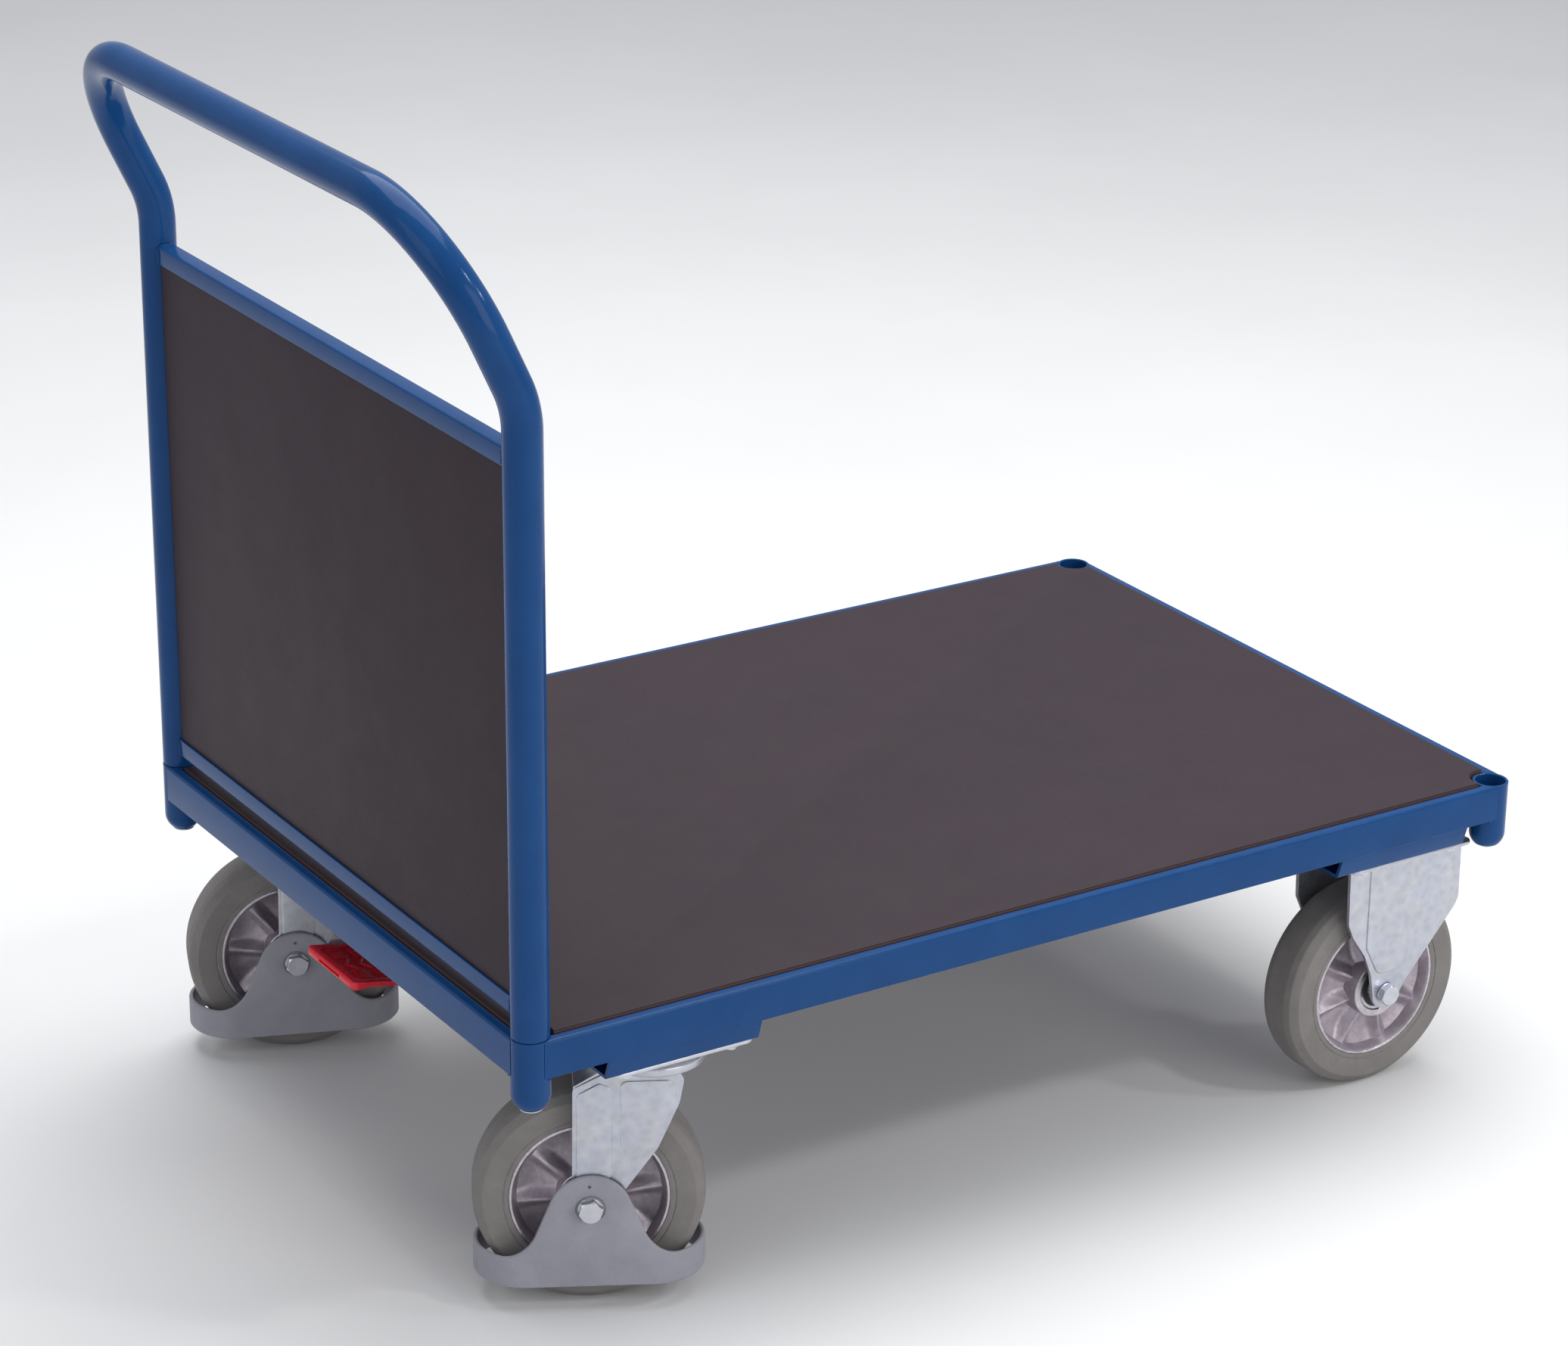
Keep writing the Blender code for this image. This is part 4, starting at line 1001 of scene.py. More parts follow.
def add_plate_bolts(shape, middle_point, plate_low):
    """Four hexagon bolts up through a caster plate and its pan, with nuts inside the pan."""
    stem = [(0.0, 0.0070), (M8_RADIUS, 0.0070), (M8_RADIUS, 0.0180), (0.0034, 0.0188), (0.0, 0.0188)]
    for i, dx in enumerate((-BOLT_PITCH_X / 2, BOLT_PITCH_X / 2)):
        for k, dy in enumerate((-BOLT_PITCH_Y / 2, BOLT_PITCH_Y / 2)):
            down = Matrix.Translation((middle_point[0] + dx, middle_point[1] + dy, plate_low))
            flipped = down @ Matrix.Rotation(math.pi, 4, "X")
            turn = 0.35 + 0.6 * i + 0.9 * k
            add_washer(shape, 0.0080, M8_RADIUS + 0.0002, 0.0001, 0.0015, flipped)
            add_hex(shape, M8_HEX, 0.0016, 0.0070, flipped, 0.0010, 0.0, turn)
            add_turned(shape, stem, 24, down)
            add_hex(shape, M8_HEX, 0.0073, 0.0135, down, 0.0010, M8_RADIUS + 0.0001, turn + 0.2)


def round_rectangle(length, width, radius, steps=6):
    corners = [
        (-length / 2, -width / 2), (length / 2, -width / 2), (length / 2, width / 2),
        (-length / 2, width / 2),
    ]
    return rounded(corners, [radius] * 4, steps)


def circle(centre, radius, steps=32):
    return arc(centre, radius, 0.0, 360.0, steps)[:-1]


for side in SIDES:
    pivot = Vector(joints[f"{side}_caster_swivel"]["pos_m"])
    head = Matrix.Translation((pivot.x, pivot.y, 0.0))
    plate_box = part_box(f"swivel_plate_{side}")
    plate_shape = bmesh.new()
    outline = round_rectangle(PLATE_LENGTH, PLATE_WIDTH, 0.010)
    bore = circle((0.0, 0.0), 0.0099)
    add_plate(plate_shape, [outline, bore], plate_box[0].z, plate_box[1].z, head, 0.0008, 2)
    finish_piece(
        f"pressed_plate_{side}", plate_shape, [bright_zinc], "chassis", [f"swivel_plate_{side}"]
    )
    bolt_shape = bmesh.new()
    add_plate_bolts(bolt_shape, (pivot.x, pivot.y), plate_box[0].z)
    finish_piece(f"plate_bolts_swivel_{side}", bolt_shape, [bright_zinc], "chassis")
    low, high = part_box(f"swivel_race_{side}")
    race_shape = bmesh.new()
    outer = (high.x - low.x) / 2
    race = [
        (0.0262, low.z), (outer - 0.0010, low.z), (outer - 0.0002, low.z + 0.0007),
        (outer - 0.0008, (low.z + high.z) / 2 - 0.0003),
        (outer - 0.0008, (low.z + high.z) / 2 + 0.0003),
        (outer, high.z - 0.0009), (outer - 0.0006, high.z), (0.0262, high.z),
    ]
    add_turned(race_shape, race, 96, head)
    name = f"swivel_race_{side}"
    finish_piece(f"ball_race_{side}", race_shape, [race_zinc], "chassis", [name])
    low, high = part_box(f"kingpin_{side}")
    pin_shape = bmesh.new()
    crown = high.z - 0.0022
    king = [
        (0.0048, high.z), (0.0130, high.z), (0.0139, high.z - 0.0008), (0.0139, crown),
        (0.0095, crown), (0.0095, low.z + 0.0040), (0.0148, low.z + 0.0040),
        (0.0148, low.z + 0.0006), (0.0142, low.z), (0.0048, low.z),
    ]
    add_turned(pin_shape, king, 48, head)
    name = f"kingpin_{side}"
    finish_piece(f"hollow_{name}", pin_shape, [race_zinc], "chassis", [name])


# ---------------------------------------------------------------- swivel forks
# The swivel fork is pressed from 4 mm sheet and zinc plated: a dished crown turns under the ball
# race, and two legs drop from it to the axle, each with a stiffening step beside a raised wing.

CHEEK_INNER, CHEEK_OUTER = 0.036, 0.040
AXLE_BOSS = 0.0155
BOLT_RADIUS = 0.0058
TRAIL = 0.055
CROWN_RADIUS = 0.046
axle_z = joints["left_swivel_wheel_roll"]["pos_m"][2]


def axle_place(joint):
    """The place of a wheel's axle: X ahead, Y along the axle to the left and Z up."""
    way = joint["axis"]
    turn = math.atan2(-way[0], way[1])
    return Matrix.Translation(joint["pos_m"]) @ Matrix.Rotation(turn, 4, "Z")


def add_cheek(shape, outlines, sign, inner, outer, place, edge, segments):
    """A plate on one side of a wheel, from an inner to an outer distance from its middle."""
    near, far = sorted((sign * inner, sign * outer))
    add_plate(shape, outlines, near, far, place @ UPRIGHT, edge, segments)


fork_zinc = zinc_material("fork_zinc", (0.40, 0.42, 0.48), (0.58, 0.59, 0.62), 0.24, 0.42)

for side in SIDES:
    place = axle_place(joints[f"{side}_swivel_wheel_roll"])
    crown_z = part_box(f"swivel_{side}_fork")[1].z - axle_z
    rim_low = 0.1235
    fork_shape = bmesh.new()
    dish = rounded_profile(
        [
            (0.0101, crown_z), (CROWN_RADIUS - 0.0052, crown_z),
            (CROWN_RADIUS, crown_z - 0.0042), (CROWN_RADIUS, rim_low),
            (CROWN_RADIUS - 0.0040, rim_low), (CROWN_RADIUS - 0.0052, crown_z - 0.0040),
            (0.0101, crown_z - 0.0040),
        ],
        [0.0, 0.0022, 0.0022, 0.0014, 0.0006, 0.0010, 0.0],
        4,
    )
    add_turned(fork_shape, dish, 128, place @ Matrix.Translation((TRAIL, 0.0, 0.0)))
    web = rounded(
        [(-0.0138, 0.1133), (0.0065, 0.1258), (0.0120, 0.1318), (0.0300, 0.1322)]
        + [(0.0300, 0.1289), (0.0105, 0.1234), (-0.0138, 0.1099)],
        [0.0008, 0.004, 0.004, 0.0, 0.0, 0.003, 0.0008],
    )
    web_reach = CHEEK_OUTER - 0.0012
    add_plate(fork_shape, [web], -web_reach, web_reach, place @ UPRIGHT, 0.0003, 2)
    leg = rounded(
        [(-0.0145, 0.1118), (-AXLE_BOSS, 0.0280)]
        + arc((0.0, 0.0), AXLE_BOSS, 180.0, 340.0, 16)
        + [(0.0310, 0.0160), (0.0580, 0.0540), (0.0760, 0.0960), (0.0800, 0.1180)]
        + [(0.0720, 0.1318), (0.0380, 0.1318), (0.0280, 0.1290), (0.0100, 0.1245)],
        [0.007, 0.004] + [0.0] * 17 + [0.006, 0.012, 0.012, 0.008, 0.003, 0.003, 0.002, 0.002],
    )
    bolt_hole = circle((0.0, 0.0), BOLT_RADIUS + 0.0005)
    panel = rounded(
        [(-0.0118, 0.1060), (-0.0118, 0.0300), (-0.0070, 0.0180), (0.0120, 0.0180), (0.0186, 0.0300)]
        + [(0.0186, 0.1120), (0.0080, 0.1170)],
        [0.008, 0.006, 0.008, 0.008, 0.008, 0.006, 0.005],
        5,
    )
    wing = rounded(
        [(0.0262, 0.1180), (0.0262, 0.0400), (0.0420, 0.0460), (0.0560, 0.0640), (0.0700, 0.0980)]
        + [(0.0720, 0.1180)],
        [0.006, 0.010, 0.010, 0.014, 0.012, 0.006],
        5,
    )
    for sign in (-1.0, 1.0):
        add_cheek(fork_shape, [leg, bolt_hole], sign, CHEEK_INNER, CHEEK_OUTER, place, 0.0008, 3)
        for relief, rise in ((panel, 0.0011), (wing, 0.0014)):
            sunk, raised = CHEEK_OUTER - 0.0012, CHEEK_OUTER + rise
            add_cheek(fork_shape, [relief], sign, sunk, raised, place, 0.0010, 4)
    name = f"swivel_{side}_fork"
    finish_piece(f"pressed_{name}", fork_shape, [fork_zinc], f"{side}_fork", [name], 30.0)


# ---------------------------------------------------------------- fixed forks
# The fixed casters have a wide pressed leg on each side, with a raised centre panel between two
# folds and turned-over top corners, welded to a plate that is bolted under the front pans.

for side in SIDES:
    place = axle_place(joints[f"{side}_fixed_wheel_roll"])
    low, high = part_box(f"fixed_{side}_fork")
    plate_high = high.z - axle_z
    plate_low = plate_high - 0.0037
    fork_shape = bmesh.new()
    plate_middle = Vector((place.translation.x + 0.0125, place.translation.y))
    outline = round_rectangle(PLATE_LENGTH, PLATE_WIDTH, 0.008)
    set_back = Matrix.Translation((plate_middle.x, plate_middle.y, axle_z))
    add_plate(fork_shape, [outline], plate_low, plate_high, set_back, 0.0008, 2)
    top = plate_low + 0.0012
    leg = rounded(
        [(-0.0480, top), (-0.0510, top - 0.007), (-0.0497, 0.0810), (-0.0430, 0.0660)]
        + [(-0.0280, 0.0440), (-0.0190, 0.0220)]
        + arc((0.0, 0.0), AXLE_BOSS, 180.0, 330.0, 16)
        + [(0.0220, 0.0070), (0.0780, 0.0720), (0.0820, 0.0800), (0.0815, top - 0.008), (0.0785, top)],
        [0.003, 0.006, 0.012, 0.014, 0.012, 0.006] + [0.0] * 17 + [0.004, 0.008, 0.006, 0.006, 0.003],
    )
    centre_panel = rounded(
        [(-0.0275, top - 0.003), (-0.0275, 0.0520), (-0.0120, 0.0220), (0.0090, 0.0220)]
        + [(0.0206, 0.0330), (0.0206, top - 0.003)],
        [0.004, 0.012, 0.010, 0.010, 0.010, 0.004],
        5,
    )
    flange = rounded(
        [(-0.0500, top), (-0.0500, top - 0.009), (0.0810, top - 0.009), (0.0810, top)],
        [0.0, 0.004, 0.004, 0.0],
        5,
    )
    bolt_hole = circle((0.0, 0.0), BOLT_RADIUS + 0.0005)
    for sign in (-1.0, 1.0):
        add_cheek(fork_shape, [leg, bolt_hole], sign, CHEEK_INNER, CHEEK_OUTER, place, 0.0008, 3)
        for relief, rise in ((centre_panel, 0.0016), (flange, 0.0022)):
            sunk, raised = CHEEK_OUTER - 0.0015, CHEEK_OUTER + rise
            add_cheek(fork_shape, [relief], sign, sunk, raised, place, 0.0014, 4)
        for ends_x in ((-0.044, -0.006), (0.010, 0.046), (0.058, 0.076)):
            bead_y = sign * (CHEEK_OUTER + 0.0025)
            first, last = (place @ Vector((x, bead_y, plate_low - 0.0004)) for x in ends_x)
            add_bead(fork_shape, first, last, 0.0014)
    name = f"fixed_{side}_fork"
    finish_piece(f"welded_{name}", fork_shape, [fork_zinc], "chassis", [name], 30.0)
    bolt_shape = bmesh.new()
    add_plate_bolts(bolt_shape, plate_middle, axle_z + plate_low)
    finish_piece(f"plate_bolts_fixed_{side}", bolt_shape, [bright_zinc], "chassis")


# ---------------------------------------------------------------- tyres
# Each wheel has a tread of grey elastic rubber, moulded onto the wheel centre with a fine ring
# beside it, flat side walls and chamfered shoulders.

WHEEL_RADIUS = 0.100
TYRE_HALF = 0.025
RIM_RADIUS = 0.0689
RIM_HALF = 0.0235


# Matt grey rubber, slightly dusty, with a fine dry grain and scuffs on the tread.
rubber = make_material(
    "grey_elastic_rubber",
    (0.196, 0.184, 0.176),
    [
        (put_patches, (0.022, 2.0), (0.232, 0.218, 0.208)),
        (put_grain_range, (0.0011, -0.3, 0.6), (0.150, 0.140, 0.134)),
        (put_edge_wear_and_highlight, (0.0016, 0.45), (0.34, 0.325, 0.315)),
        (put_dust, (0.25,), (0.30, 0.29, 0.27)),
    ],
    (0.012, 0.0, 0.66, 0.82),
    (put_grain, (0.0009,), 0.00012),
    specular=0.35,
)
wheels = [(kind, side) for kind in ("swivel", "fixed") for side in SIDES]


def wheel_joint(kind, side):
    return joints[f"{side}_{kind}_wheel_roll"]


tyre_half = rounded(
    [
        (RIM_RADIUS + 0.0003, 0.0), (RIM_RADIUS + 0.0003, 0.0233), (0.0727, 0.0237),
        (0.0733, 0.0231), (0.0741, 0.0231), (0.0747, 0.0240), (0.0912, TYRE_HALF - 0.0002),
        (0.0982, 0.0188), (WHEEL_RADIUS, 0.0120), (WHEEL_RADIUS, 0.0),
    ],
    [0.0, 0.0, 0.0002, 0.0, 0.0, 0.0002, 0.0016, 0.0040, 0.006, 0.0],
    5,
)[1:-1]
tyre_profile = tyre_half + [(r, -h) for r, h in reversed(tyre_half)]

for kind, side in wheels:
    tyre_shape = bmesh.new()
    add_turned(tyre_shape, tyre_profile, 144, axle_place(wheel_joint(kind, side)) @ UPRIGHT)
    name = f"{kind}_{side}_tyre"
    body = f"{side}_{kind}_wheel"
    finish_piece(f"moulded_{name}", tyre_shape, [rubber], body, [name], 40.0)


# ---------------------------------------------------------------- wheel centres
# The wheel centre is die-cast aluminium with a machined lip and hub face. Straight ribs between
# hub and lip leave wedge-shaped pockets with slanted floors.

RIBS = 8
WEB_HALF = 0.0090
RIB_HALF = 0.0205
RIB_OUTER_HALF = 0.0175
HUB_RADIUS = 0.028
HUB_HALF = 0.0295
POCKET_RADII = (0.0288, 0.0310, 0.0350, 0.0400, 0.0450, 0.0500, 0.0550, 0.0595, 0.0620)


def cast_material(name, first, second, low, high, grain):
    """Cast aluminium with pale clouds, dull stains and bright rubbed edges."""
    layers = [
        (put_patches, (0.010, 4.0), second),
        (put_patches_range, (0.004, 9.0, 0.0, 0.35), (0.30, 0.25, 0.28)),
        (put_edge_wear_and_highlight, (0.0010, 0.8), (0.80, 0.78, 0.80)),
    ]
    relief = (put_grain, (grain,), 0.00014)
    return make_material(name, first, layers, (0.006, 1.0, low, high), relief, metallic=0.85)


raw_casting = cast_material(
    "raw_casting", (0.40, 0.35, 0.40), (0.52, 0.47, 0.52), 0.40, 0.58, 0.0016
)
machined_face = cast_material(
    "machined_face", (0.52, 0.49, 0.52), (0.66, 0.63, 0.66), 0.22, 0.40, 0.0007
)


def centre_side(angle):
    """One side of the wheel centre at an angle: hub face, hub wall, web with its ribs, lip."""
    pitch = 2.0 * math.pi / RIBS
    off = abs((angle + pitch / 2) % pitch - pitch / 2)
    side_points = [(0.0214, HUB_HALF - 0.0004), (0.0218, HUB_HALF), (HUB_RADIUS - 0.0006, HUB_HALF)]
    side_points += [(HUB_RADIUS, HUB_HALF - 0.0006)]
    for r in POCKET_RADII:
        across_rib = off * r
        ridge = max(0.0, 1.0 - max(0.0, across_rib - 0.0011) / 0.0085)
        along = (r - POCKET_RADII[0]) / (POCKET_RADII[-1] - POCKET_RADII[0])
        crest = RIB_HALF * (1.0 - along) + RIB_OUTER_HALF * along
        floor_h = WEB_HALF + 0.0035 * abs(1.0 - 2.0 * along) ** 2
        side_points.append((r, floor_h + (crest - floor_h) * ridge ** 1.3))
    side_points += [(0.0648, 0.0205), (0.0662, RIM_HALF - 0.0005), (0.0667, RIM_HALF)]
    side_points += [(RIM_RADIUS - 0.0005, RIM_HALF), (RIM_RADIUS, RIM_HALF - 0.0005)]
    return side_points


def centre_profile(angle):
    upper = centre_side(angle)
    return upper + [(r, -h) for r, h in reversed(centre_side(angle + math.pi / RIBS))]


side_count = len(centre_side(0.0))
bright_bands = {0, 1, 2, side_count - 4, side_count - 3, side_count - 2}
centre_paints = []
for k in range(2 * side_count):
    mirrored = 2 * side_count - 2 - k
    centre_paints.append(1 if k in bright_bands or mirrored in bright_bands else 0)

for kind, side in wheels:
    centre_shape = bmesh.new()
    place = axle_place(wheel_joint(kind, side)) @ UPRIGHT
    turn = Matrix.Rotation({"swivel": 0.30, "fixed": 0.12}[kind] * SIDES[side], 4, "Z")
    add_turned(centre_shape, centre_profile, 192, place @ turn, centre_paints)
    name = f"{kind}_{side}_rim"
    finish_piece(
        f"cast_{name}", centre_shape, [raw_casting, machined_face], f"{side}_{kind}_wheel",
        [name], 30.0,
    )


# ---------------------------------------------------------------- ball bearings
# Two sealed ball bearings sit in each hub on a steel spacer tube that takes the bolt's clamp.

def steel_material(name, first, second, low, high, metallic):
    """Ground steel, or the rubber of a seal where it isn't metallic."""
    layers = [(put_patches, (0.006, 6.0), second)]
    relief = (put_grain, (0.0006,), 0.00004)
    return make_material(name, first, layers, (0.004, 3.0, low, high), relief, metallic=metallic)


ground_steel = steel_material(
    "ground_steel", (0.42, 0.42, 0.44), (0.55, 0.55, 0.57), 0.20, 0.32, 1.0
)
seal_rubber = steel_material(
    "seal_rubber", (0.016, 0.016, 0.018), (0.030, 0.030, 0.032), 0.55, 0.70, 0.0
)

bearing_side = [
    (0.0064, 0.0356), (0.0096, 0.0356), (0.0099, 0.0353), (0.0099, 0.0285), (0.0122, 0.0285),
    (0.0124, 0.0279), (0.0176, 0.0279), (0.0178, 0.0285), (0.0205, 0.0285), (0.0208, 0.0282),
    (0.0208, 0.0165), (0.0100, 0.0165),
]
bearing_profile = bearing_side + [(r, -h) for r, h in reversed(bearing_side)]
seal_bands = {5, 2 * len(bearing_side) - 7}
bearing_paints = [1 if k in seal_bands else 0 for k in range(2 * len(bearing_side))]

for kind, side in wheels:
    bearing_shape = bmesh.new()
    place = axle_place(wheel_joint(kind, side)) @ UPRIGHT
    add_turned(bearing_shape, bearing_profile, 64, place, bearing_paints)
    name = f"{kind}_{side}_bearings"
    body = f"{side}_fork" if kind == "swivel" else "chassis"
    finish_piece(
        f"sealed_{name}", bearing_shape, [ground_steel, seal_rubber], body, [name], 30.0
    )


# ---------------------------------------------------------------- axle bolts and nuts
# A zinc-plated M12 hexagon bolt clamps each fork on the spacer. Its nut has a nylon ring, and the
# swivel casters' bolts also clamp the foot guards, with a washer under each end.

AXLE_HEX = 0.0109
CLAMP_Y = {"swivel": 0.0450, "fixed": 0.0400}
WASHER_RADIUS = {"swivel": 0.0108, "fixed": 0.0104}

for kind, side in wheels:
    place = axle_place(wheel_joint(kind, side)) @ UPRIGHT
    flipped = place @ Matrix.Rotation(math.pi, 4, "X")
    seat = CLAMP_Y[kind] + GAP
    shank_end = CLAMP_Y[kind] + 0.0125
    body = f"{side}_fork" if kind == "swivel" else "chassis"
    bolt_shape = bmesh.new()
    shank = [
        (0.0, -seat - 0.0020), (BOLT_RADIUS - 0.0002, -seat - 0.0020),
        (BOLT_RADIUS - 0.0002, shank_end - 0.0010), (BOLT_RADIUS - 0.0012, shank_end),
        (0.0, shank_end),
    ]
    add_turned(bolt_shape, shank, 32, place)
    add_washer(bolt_shape, WASHER_RADIUS[kind], 0.0059, seat, seat + 0.0012, flipped)
    add_hex(bolt_shape, AXLE_HEX, seat + 0.0012, seat + 0.0078, flipped, 0.0014, 0.0, 0.26)
    name = f"{kind}_{side}_axle_bolt"
    finish_piece(f"hexagon_{name}", bolt_shape, [bright_zinc], body, [name], 30.0)
    nut_shape = bmesh.new()
    add_washer(nut_shape, 0.0108, 0.0060, seat, seat + 0.0012, place)
    add_hex(nut_shape, AXLE_HEX, seat + 0.0012, seat + 0.0072, place, 0.0012, 0.0060, 0.5)
    collar = [
        (0.0060, seat + 0.0066), (0.0092, seat + 0.0066), (0.0088, seat + 0.0088),
        (0.0076, seat + 0.0094), (0.0060, seat + 0.0094),
    ]
    add_turned(nut_shape, collar, 40, place)
    name = f"{kind}_{side}_axle_nut"
    finish_piece(f"lock_{name}", nut_shape, [bright_zinc], body, [name], 30.0)


# ---------------------------------------------------------------- foot guards
# A grey moulded guard runs round each swivel wheel just above the floor, so that it can't roll
# over a foot. It rises on both sides to a round boss that the axle bolt clamps.

GUARD_HALF_LENGTH, GUARD_HALF_WIDTH = 0.100, 0.045
GUARD_WALL = 0.004
GUARD_BAND = 0.053
GUARD_DOME = 0.036
GUARD_DOME_SINK = 0.005
GUARD_FLANK = math.radians(68.0)
GUARD_FILLET = 0.036
GUARD_SIDE_STEPS, GUARD_END_STEPS = 60, 32


# Moulded grey plastic with a fine spark-eroded grain and paler rubbed edges.
guard_plastic = make_material(
    "moulded_grey_plastic",
    (0.270, 0.270, 0.310),
    [
        (put_patches, (0.03, 8.0), (0.320, 0.320, 0.362)),
        (put_grain_range, (0.0009, -0.35, 0.65), (0.215, 0.214, 0.246)),
        (put_edge_wear_and_highlight, (0.0016, 0.6), (0.46, 0.46, 0.51)),
        (put_dust, (0.15,), (0.34, 0.33, 0.33)),
    ],
    (0.02, 0.0, 0.50, 0.62),
    (put_grain, (0.0008,), 0.00010),
    specular=0.4,
)


def guard_stations():
    """Points round the guard's outside with their outward directions, counter-clockwise."""
    straight = GUARD_HALF_LENGTH - GUARD_HALF_WIDTH
    stations = []
    for sign in (-1.0, 1.0):
        for i in range(GUARD_SIDE_STEPS):
            x = -sign * (2.0 * straight * i / GUARD_SIDE_STEPS - straight)
            stations.append((x, sign * GUARD_HALF_WIDTH, 0.0, sign))
        for i in range(GUARD_END_STEPS):
            a = sign * math.pi / 2 + math.pi * i / GUARD_END_STEPS
            c, s = math.cos(a), math.sin(a)
            centre_x = -sign * straight
            stations.append((centre_x + GUARD_HALF_WIDTH * c, GUARD_HALF_WIDTH * s, c, s))
    return stations


def guard_top(x):
    """The height of the guard's upper edge above the axle, at a distance ahead of it."""
    x = abs(x)
    band = GUARD_BAND - axle_z
    tangent_x = GUARD_DOME * math.sin(GUARD_FLANK)
    tangent_z = GUARD_DOME * math.cos(GUARD_FLANK) - GUARD_DOME_SINK
    foot = tangent_x + (tangent_z - band) / math.tan(GUARD_FLANK)
    fillet_x = foot + GUARD_FILLET * math.tan(GUARD_FLANK / 2)
    fillet_start = fillet_x - GUARD_FILLET * math.sin(GUARD_FLANK)
    if x <= tangent_x:
        return math.sqrt(GUARD_DOME**2 - x**2) - GUARD_DOME_SINK
    if x <= fillet_start:
        return tangent_z - (x - tangent_x) * math.tan(GUARD_FLANK)
    if x <= fillet_x:
        return band + GUARD_FILLET - math.sqrt(GUARD_FILLET**2 - (fillet_x - x) ** 2)
    return band


for side in SIDES:
    place = axle_place(joints[f"{side}_swivel_wheel_roll"])
    low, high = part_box(f"swivel_{side}_foot_guard")
    guard_low = low.z - axle_z
    band_shape = bmesh.new()
    rings = []
    for x, y, out_x, out_y in guard_stations():
        top = guard_top(x)
        section = [
            (0.0, guard_low + 0.0012), (0.0, top - 0.0026), (-0.0003, top - 0.0014),
            (-0.0010, top - 0.0005), (-0.0022, top), (0.0012 - GUARD_WALL, top),
            (0.0003 - GUARD_WALL, top - 0.0005), (-GUARD_WALL, top - 0.0014),
            (-GUARD_WALL, guard_low + 0.0010), (0.0008 - GUARD_WALL, guard_low),
            (-0.0010, guard_low),
        ]
        ring = [band_shape.verts.new((x + off * out_x, y + off * out_y, z)) for off, z in section]
        rings.append(ring)
    for i, ring in enumerate(rings):
        after = rings[(i + 1) % len(rings)]
        for k in range(len(ring)):
            n = (k + 1) % len(ring)
            band_shape.faces.new((ring[k], after[k], after[n], ring[n]))
    holes = bmesh.new()
    for sign in (-1.0, 1.0):
        outward = UPRIGHT if sign > 0.0 else Matrix.Rotation(math.pi, 4, "Z") @ UPRIGHT
        deep = [(0.0, 0.0350), (0.0063, 0.0350), (0.0063, 0.0500), (0.0, 0.0500)]
        add_turned(holes, deep, 40, outward)
        dimple = [(0.0, 0.0430), (0.0017, 0.0430), (0.0019, 0.0500), (0.0, 0.0500)]
        add_turned(holes, dimple, 20, Matrix.Translation((-0.0008, 0.0, 0.0212)) @ outward)
        ring_cut = [(0.0118, 0.0438), (0.0127, 0.0438), (0.0132, 0.0460), (0.0113, 0.0460)]
        add_turned(holes, ring_cut, 64, outward)
    band_shape = cut_away(band_shape, holes)
    bmesh.ops.transform(band_shape, matrix=place, verts=band_shape.verts)
    name = f"swivel_{side}_foot_guard"
    finish_piece(f"moulded_{name}", band_shape, [guard_plastic], f"{side}_fork", [name])


# ---------------------------------------------------------------- central brake
# A red pedal under the rear rail turns a cross shaft. A cam finger on each end of the shaft pushes
# a plunger down through the kingpin, and its shoe holds the tyre.

SHAFT_RADIUS = 0.006
CAM_RADIUS, NOSE_RADIUS = 0.0085, 0.003
NOSE_X, NOSE_Z = -0.015, 0.2565
PEDAL_FOOT_Z = 0.2222
PEDAL_SLOPE = 0.19
PEDAL_SHEET = 0.0045
PEDAL_LIP = 0.0115
TREAD_MARGIN = 0.008
TREAD_DEPTH = 0.0016
pedal_low, pedal_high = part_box("brake_pedal")

# Glossy red moulded plastic, scuffed along its edges by shoes.
red_plastic = make_material(
    "moulded_red_plastic",
    (0.720, 0.007, 0.026),
    [
        (put_patches, (0.012, 3.0), (0.800, 0.011, 0.034)),
        (put_edge_wear_and_highlight, (0.0014, 0.5), (0.82, 0.10, 0.10)),
        (put_patches_range, (0.005, 12.0, 0.0, 0.35), (0.33, 0.004, 0.014)),
    ],
    (0.006, 0.0, 0.28, 0.46),
    (put_grain, (0.0012,), 0.00006),
)

def pedal_z(x, below=0.0):
    """The height of the pedal's sloping top at x, less a depth below it."""
    return pedal_high.z - PEDAL_SLOPE * (x - pedal_low.x) - below


def tilt(shape):
    """Moves a level shape onto the pedal's slope."""
    for vert in shape.verts:
        vert.co.z += -PEDAL_SLOPE * (vert.co.x - pedal_low.x)


half = (pedal_high.y - pedal_low.y) / 2
lip_x = pedal_low.x + PEDAL_LIP
pedal_shape = bmesh.new()
side_view = rounded(
    [
        (pedal_low.x, PEDAL_FOOT_Z),
        (pedal_low.x, pedal_z(pedal_low.x)),
        (pedal_high.x, pedal_z(pedal_high.x)),
        (pedal_high.x, pedal_z(pedal_high.x, PEDAL_SHEET)),
        (lip_x + 0.004, pedal_z(lip_x + 0.004, PEDAL_SHEET)),
        (lip_x, PEDAL_FOOT_Z),
    ],
    [0.0030, 0.0034, 0.0012, 0.0012, 0.0030, 0.0022],
    5,
)
add_plate(pedal_shape, [side_view], -half, half, CENTRE_LINE @ UPRIGHT, 0.0)
plan_cut = bmesh.new()
outer = [(-0.60, -0.10), (-0.36, -0.10), (-0.36, 0.10), (-0.60, 0.10)]
plan = rounded(
    [(pedal_low.x, -half), (pedal_high.x, -half), (pedal_high.x, half), (pedal_low.x, half)],
    [0.007, 0.010, 0.010, 0.007],
    8,
)
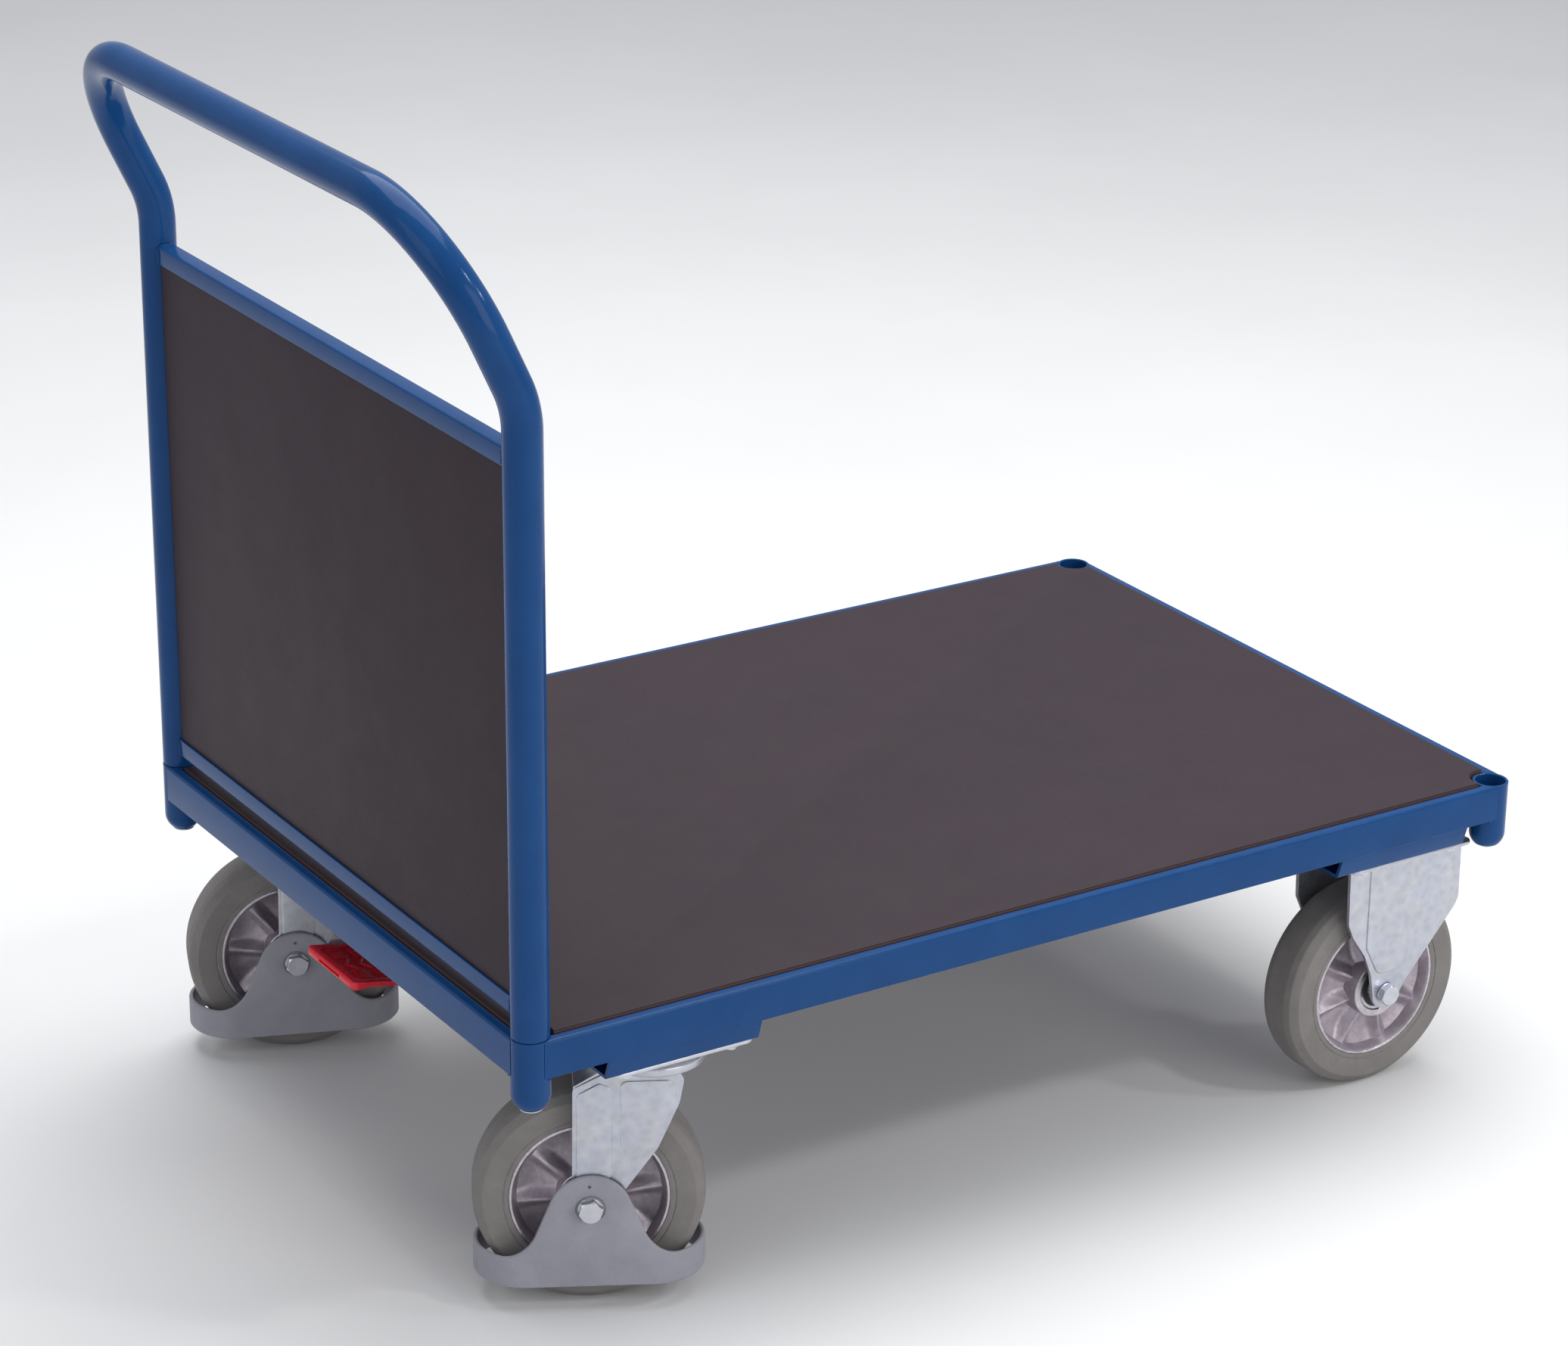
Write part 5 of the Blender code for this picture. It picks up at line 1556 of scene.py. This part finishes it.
add_plate(plan_cut, [outer, plan], 0.19, 0.25, CENTRE_LINE, 0.0)
pedal_shape = cut_away(pedal_shape, plan_cut)
tread_cut = bmesh.new()
tread = rounded(
    [
        (pedal_low.x + TREAD_MARGIN, TREAD_MARGIN - half),
        (pedal_high.x - 0.004, TREAD_MARGIN - half),
        (pedal_high.x - 0.004, half - TREAD_MARGIN),
        (pedal_low.x + TREAD_MARGIN, half - TREAD_MARGIN),
    ],
    [0.006] * 4,
    6,
)
tread_floor = pedal_high.z - TREAD_DEPTH
add_plate(tread_cut, [tread], tread_floor, pedal_high.z + 0.02, CENTRE_LINE, 0.0)
tilt(tread_cut)
slot = [(-0.020, 0.2252), (0.020, 0.2252), (0.020, 0.2278), (-0.020, 0.2278)]
slot = rounded(slot, [0.0012] * 4, 4)
slot_place = CENTRE_LINE @ ENDWISE
add_plate(tread_cut, [slot], pedal_low.x - 0.004, pedal_low.x + 0.0022, slot_place, 0.0)
pedal_shape = cut_away(pedal_shape, tread_cut)
soften(pedal_shape, 0.0009, 3, 32.0)
ribs = bmesh.new()
rib_foot, rib_top = tread_floor - 0.0006, pedal_high.z - 0.0002
for row in (-1.0, 1.0):
    for i in range(5):
        centre_y = row * (0.0165 + 0.0042 * i)
        low_y, high_y = centre_y - 0.0011, centre_y + 0.0011
        for start_x in (0.014, 0.034, 0.054):
            x0 = pedal_low.x + start_x
            x1 = x0 + 0.013
            bar = rounded([(x0, low_y), (x1, low_y), (x1, high_y), (x0, high_y)], [0.0010] * 4, 3)
            add_plate(ribs, [bar], rib_foot, rib_top, CENTRE_LINE, 0.0005, 2)
for depth in (0.016, 0.030, 0.044):
    x0 = pedal_low.x + depth
    chevron = [(x0, 0.0), (x0 + 0.007, -0.0110), (x0 + 0.0095, -0.0110), (x0 + 0.0025, 0.0)]
    chevron += [(x0 + 0.0095, 0.0110), (x0 + 0.007, 0.0110)]
    add_plate(ribs, [chevron], rib_foot, rib_top, CENTRE_LINE, 0.0004, 2)
tilt(ribs)
merge(pedal_shape, ribs, Matrix.Identity(4))
finish_piece(
    "moulded_brake_pedal", pedal_shape, [red_plastic], "brake_linkage",
    ["brake_pedal"], 30.0,
)


def finish_node(name, material, width):
    """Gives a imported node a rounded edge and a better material, and leaves its mesh alone."""
    node = frame["nodes"][name]
    node.data.materials.clear()
    node.data.materials.append(material)
    weld = node.modifiers.new("Weld", "WELD")
    weld.merge_threshold = 0.00002
    bevel = node.modifiers.new("Rounded", "BEVEL")
    bevel.width = width
    bevel.segments = 3
    bevel.limit_method = "ANGLE"
    bevel.angle_limit = math.radians(40.0)


finish_node("brake_lever", bright_zinc, 0.0007)
finish_node("brake_bracket", bright_zinc, 0.0006)

shaft_low, shaft_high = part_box("brake_shaft")
shaft_shape = bmesh.new()
rod = rounded_profile(
    [
        (0.0, shaft_low.y - middle.y), (SHAFT_RADIUS - 0.0001, shaft_low.y - middle.y),
        (SHAFT_RADIUS - 0.0001, shaft_high.y - middle.y), (0.0, shaft_high.y - middle.y),
    ],
    [0.0, 0.0008, 0.0008, 0.0],
)
shaft_place = Matrix.Translation((hinge.x, middle.y, hinge.z))
add_turned(shaft_shape, rod, 40, shaft_place @ UPRIGHT)
nose = Vector((NOSE_X, NOSE_Z - hinge.z))
lean = math.degrees(math.asin((CAM_RADIUS - NOSE_RADIUS) / nose.length))
heading = math.degrees(math.atan2(nose.y, nose.x)) % 360.0
finger = arc((0.0, 0.0), CAM_RADIUS, heading - 270.0 - lean, heading - 90.0 + lean, 18)
finger += arc(tuple(nose), NOSE_RADIUS, heading - 90.0 + lean, heading + 90.0 - lean, 12)
for side in SIDES:
    pivot = Vector(joints[f"{side}_caster_swivel"]["pos_m"])
    across_y = pivot.y - middle.y
    ends_y = (across_y - 0.006, across_y + 0.006)
    add_plate(shaft_shape, [finger], *ends_y, shaft_place @ UPRIGHT, 0.0007, 2)
finish_piece(
    "turned_brake_shaft", shaft_shape, [bright_zinc], "brake_linkage", ["brake_shaft"], 30.0
)

for side in SIDES:
    finish_node(f"brake_plunger_{side}", race_zinc, 0.0003)
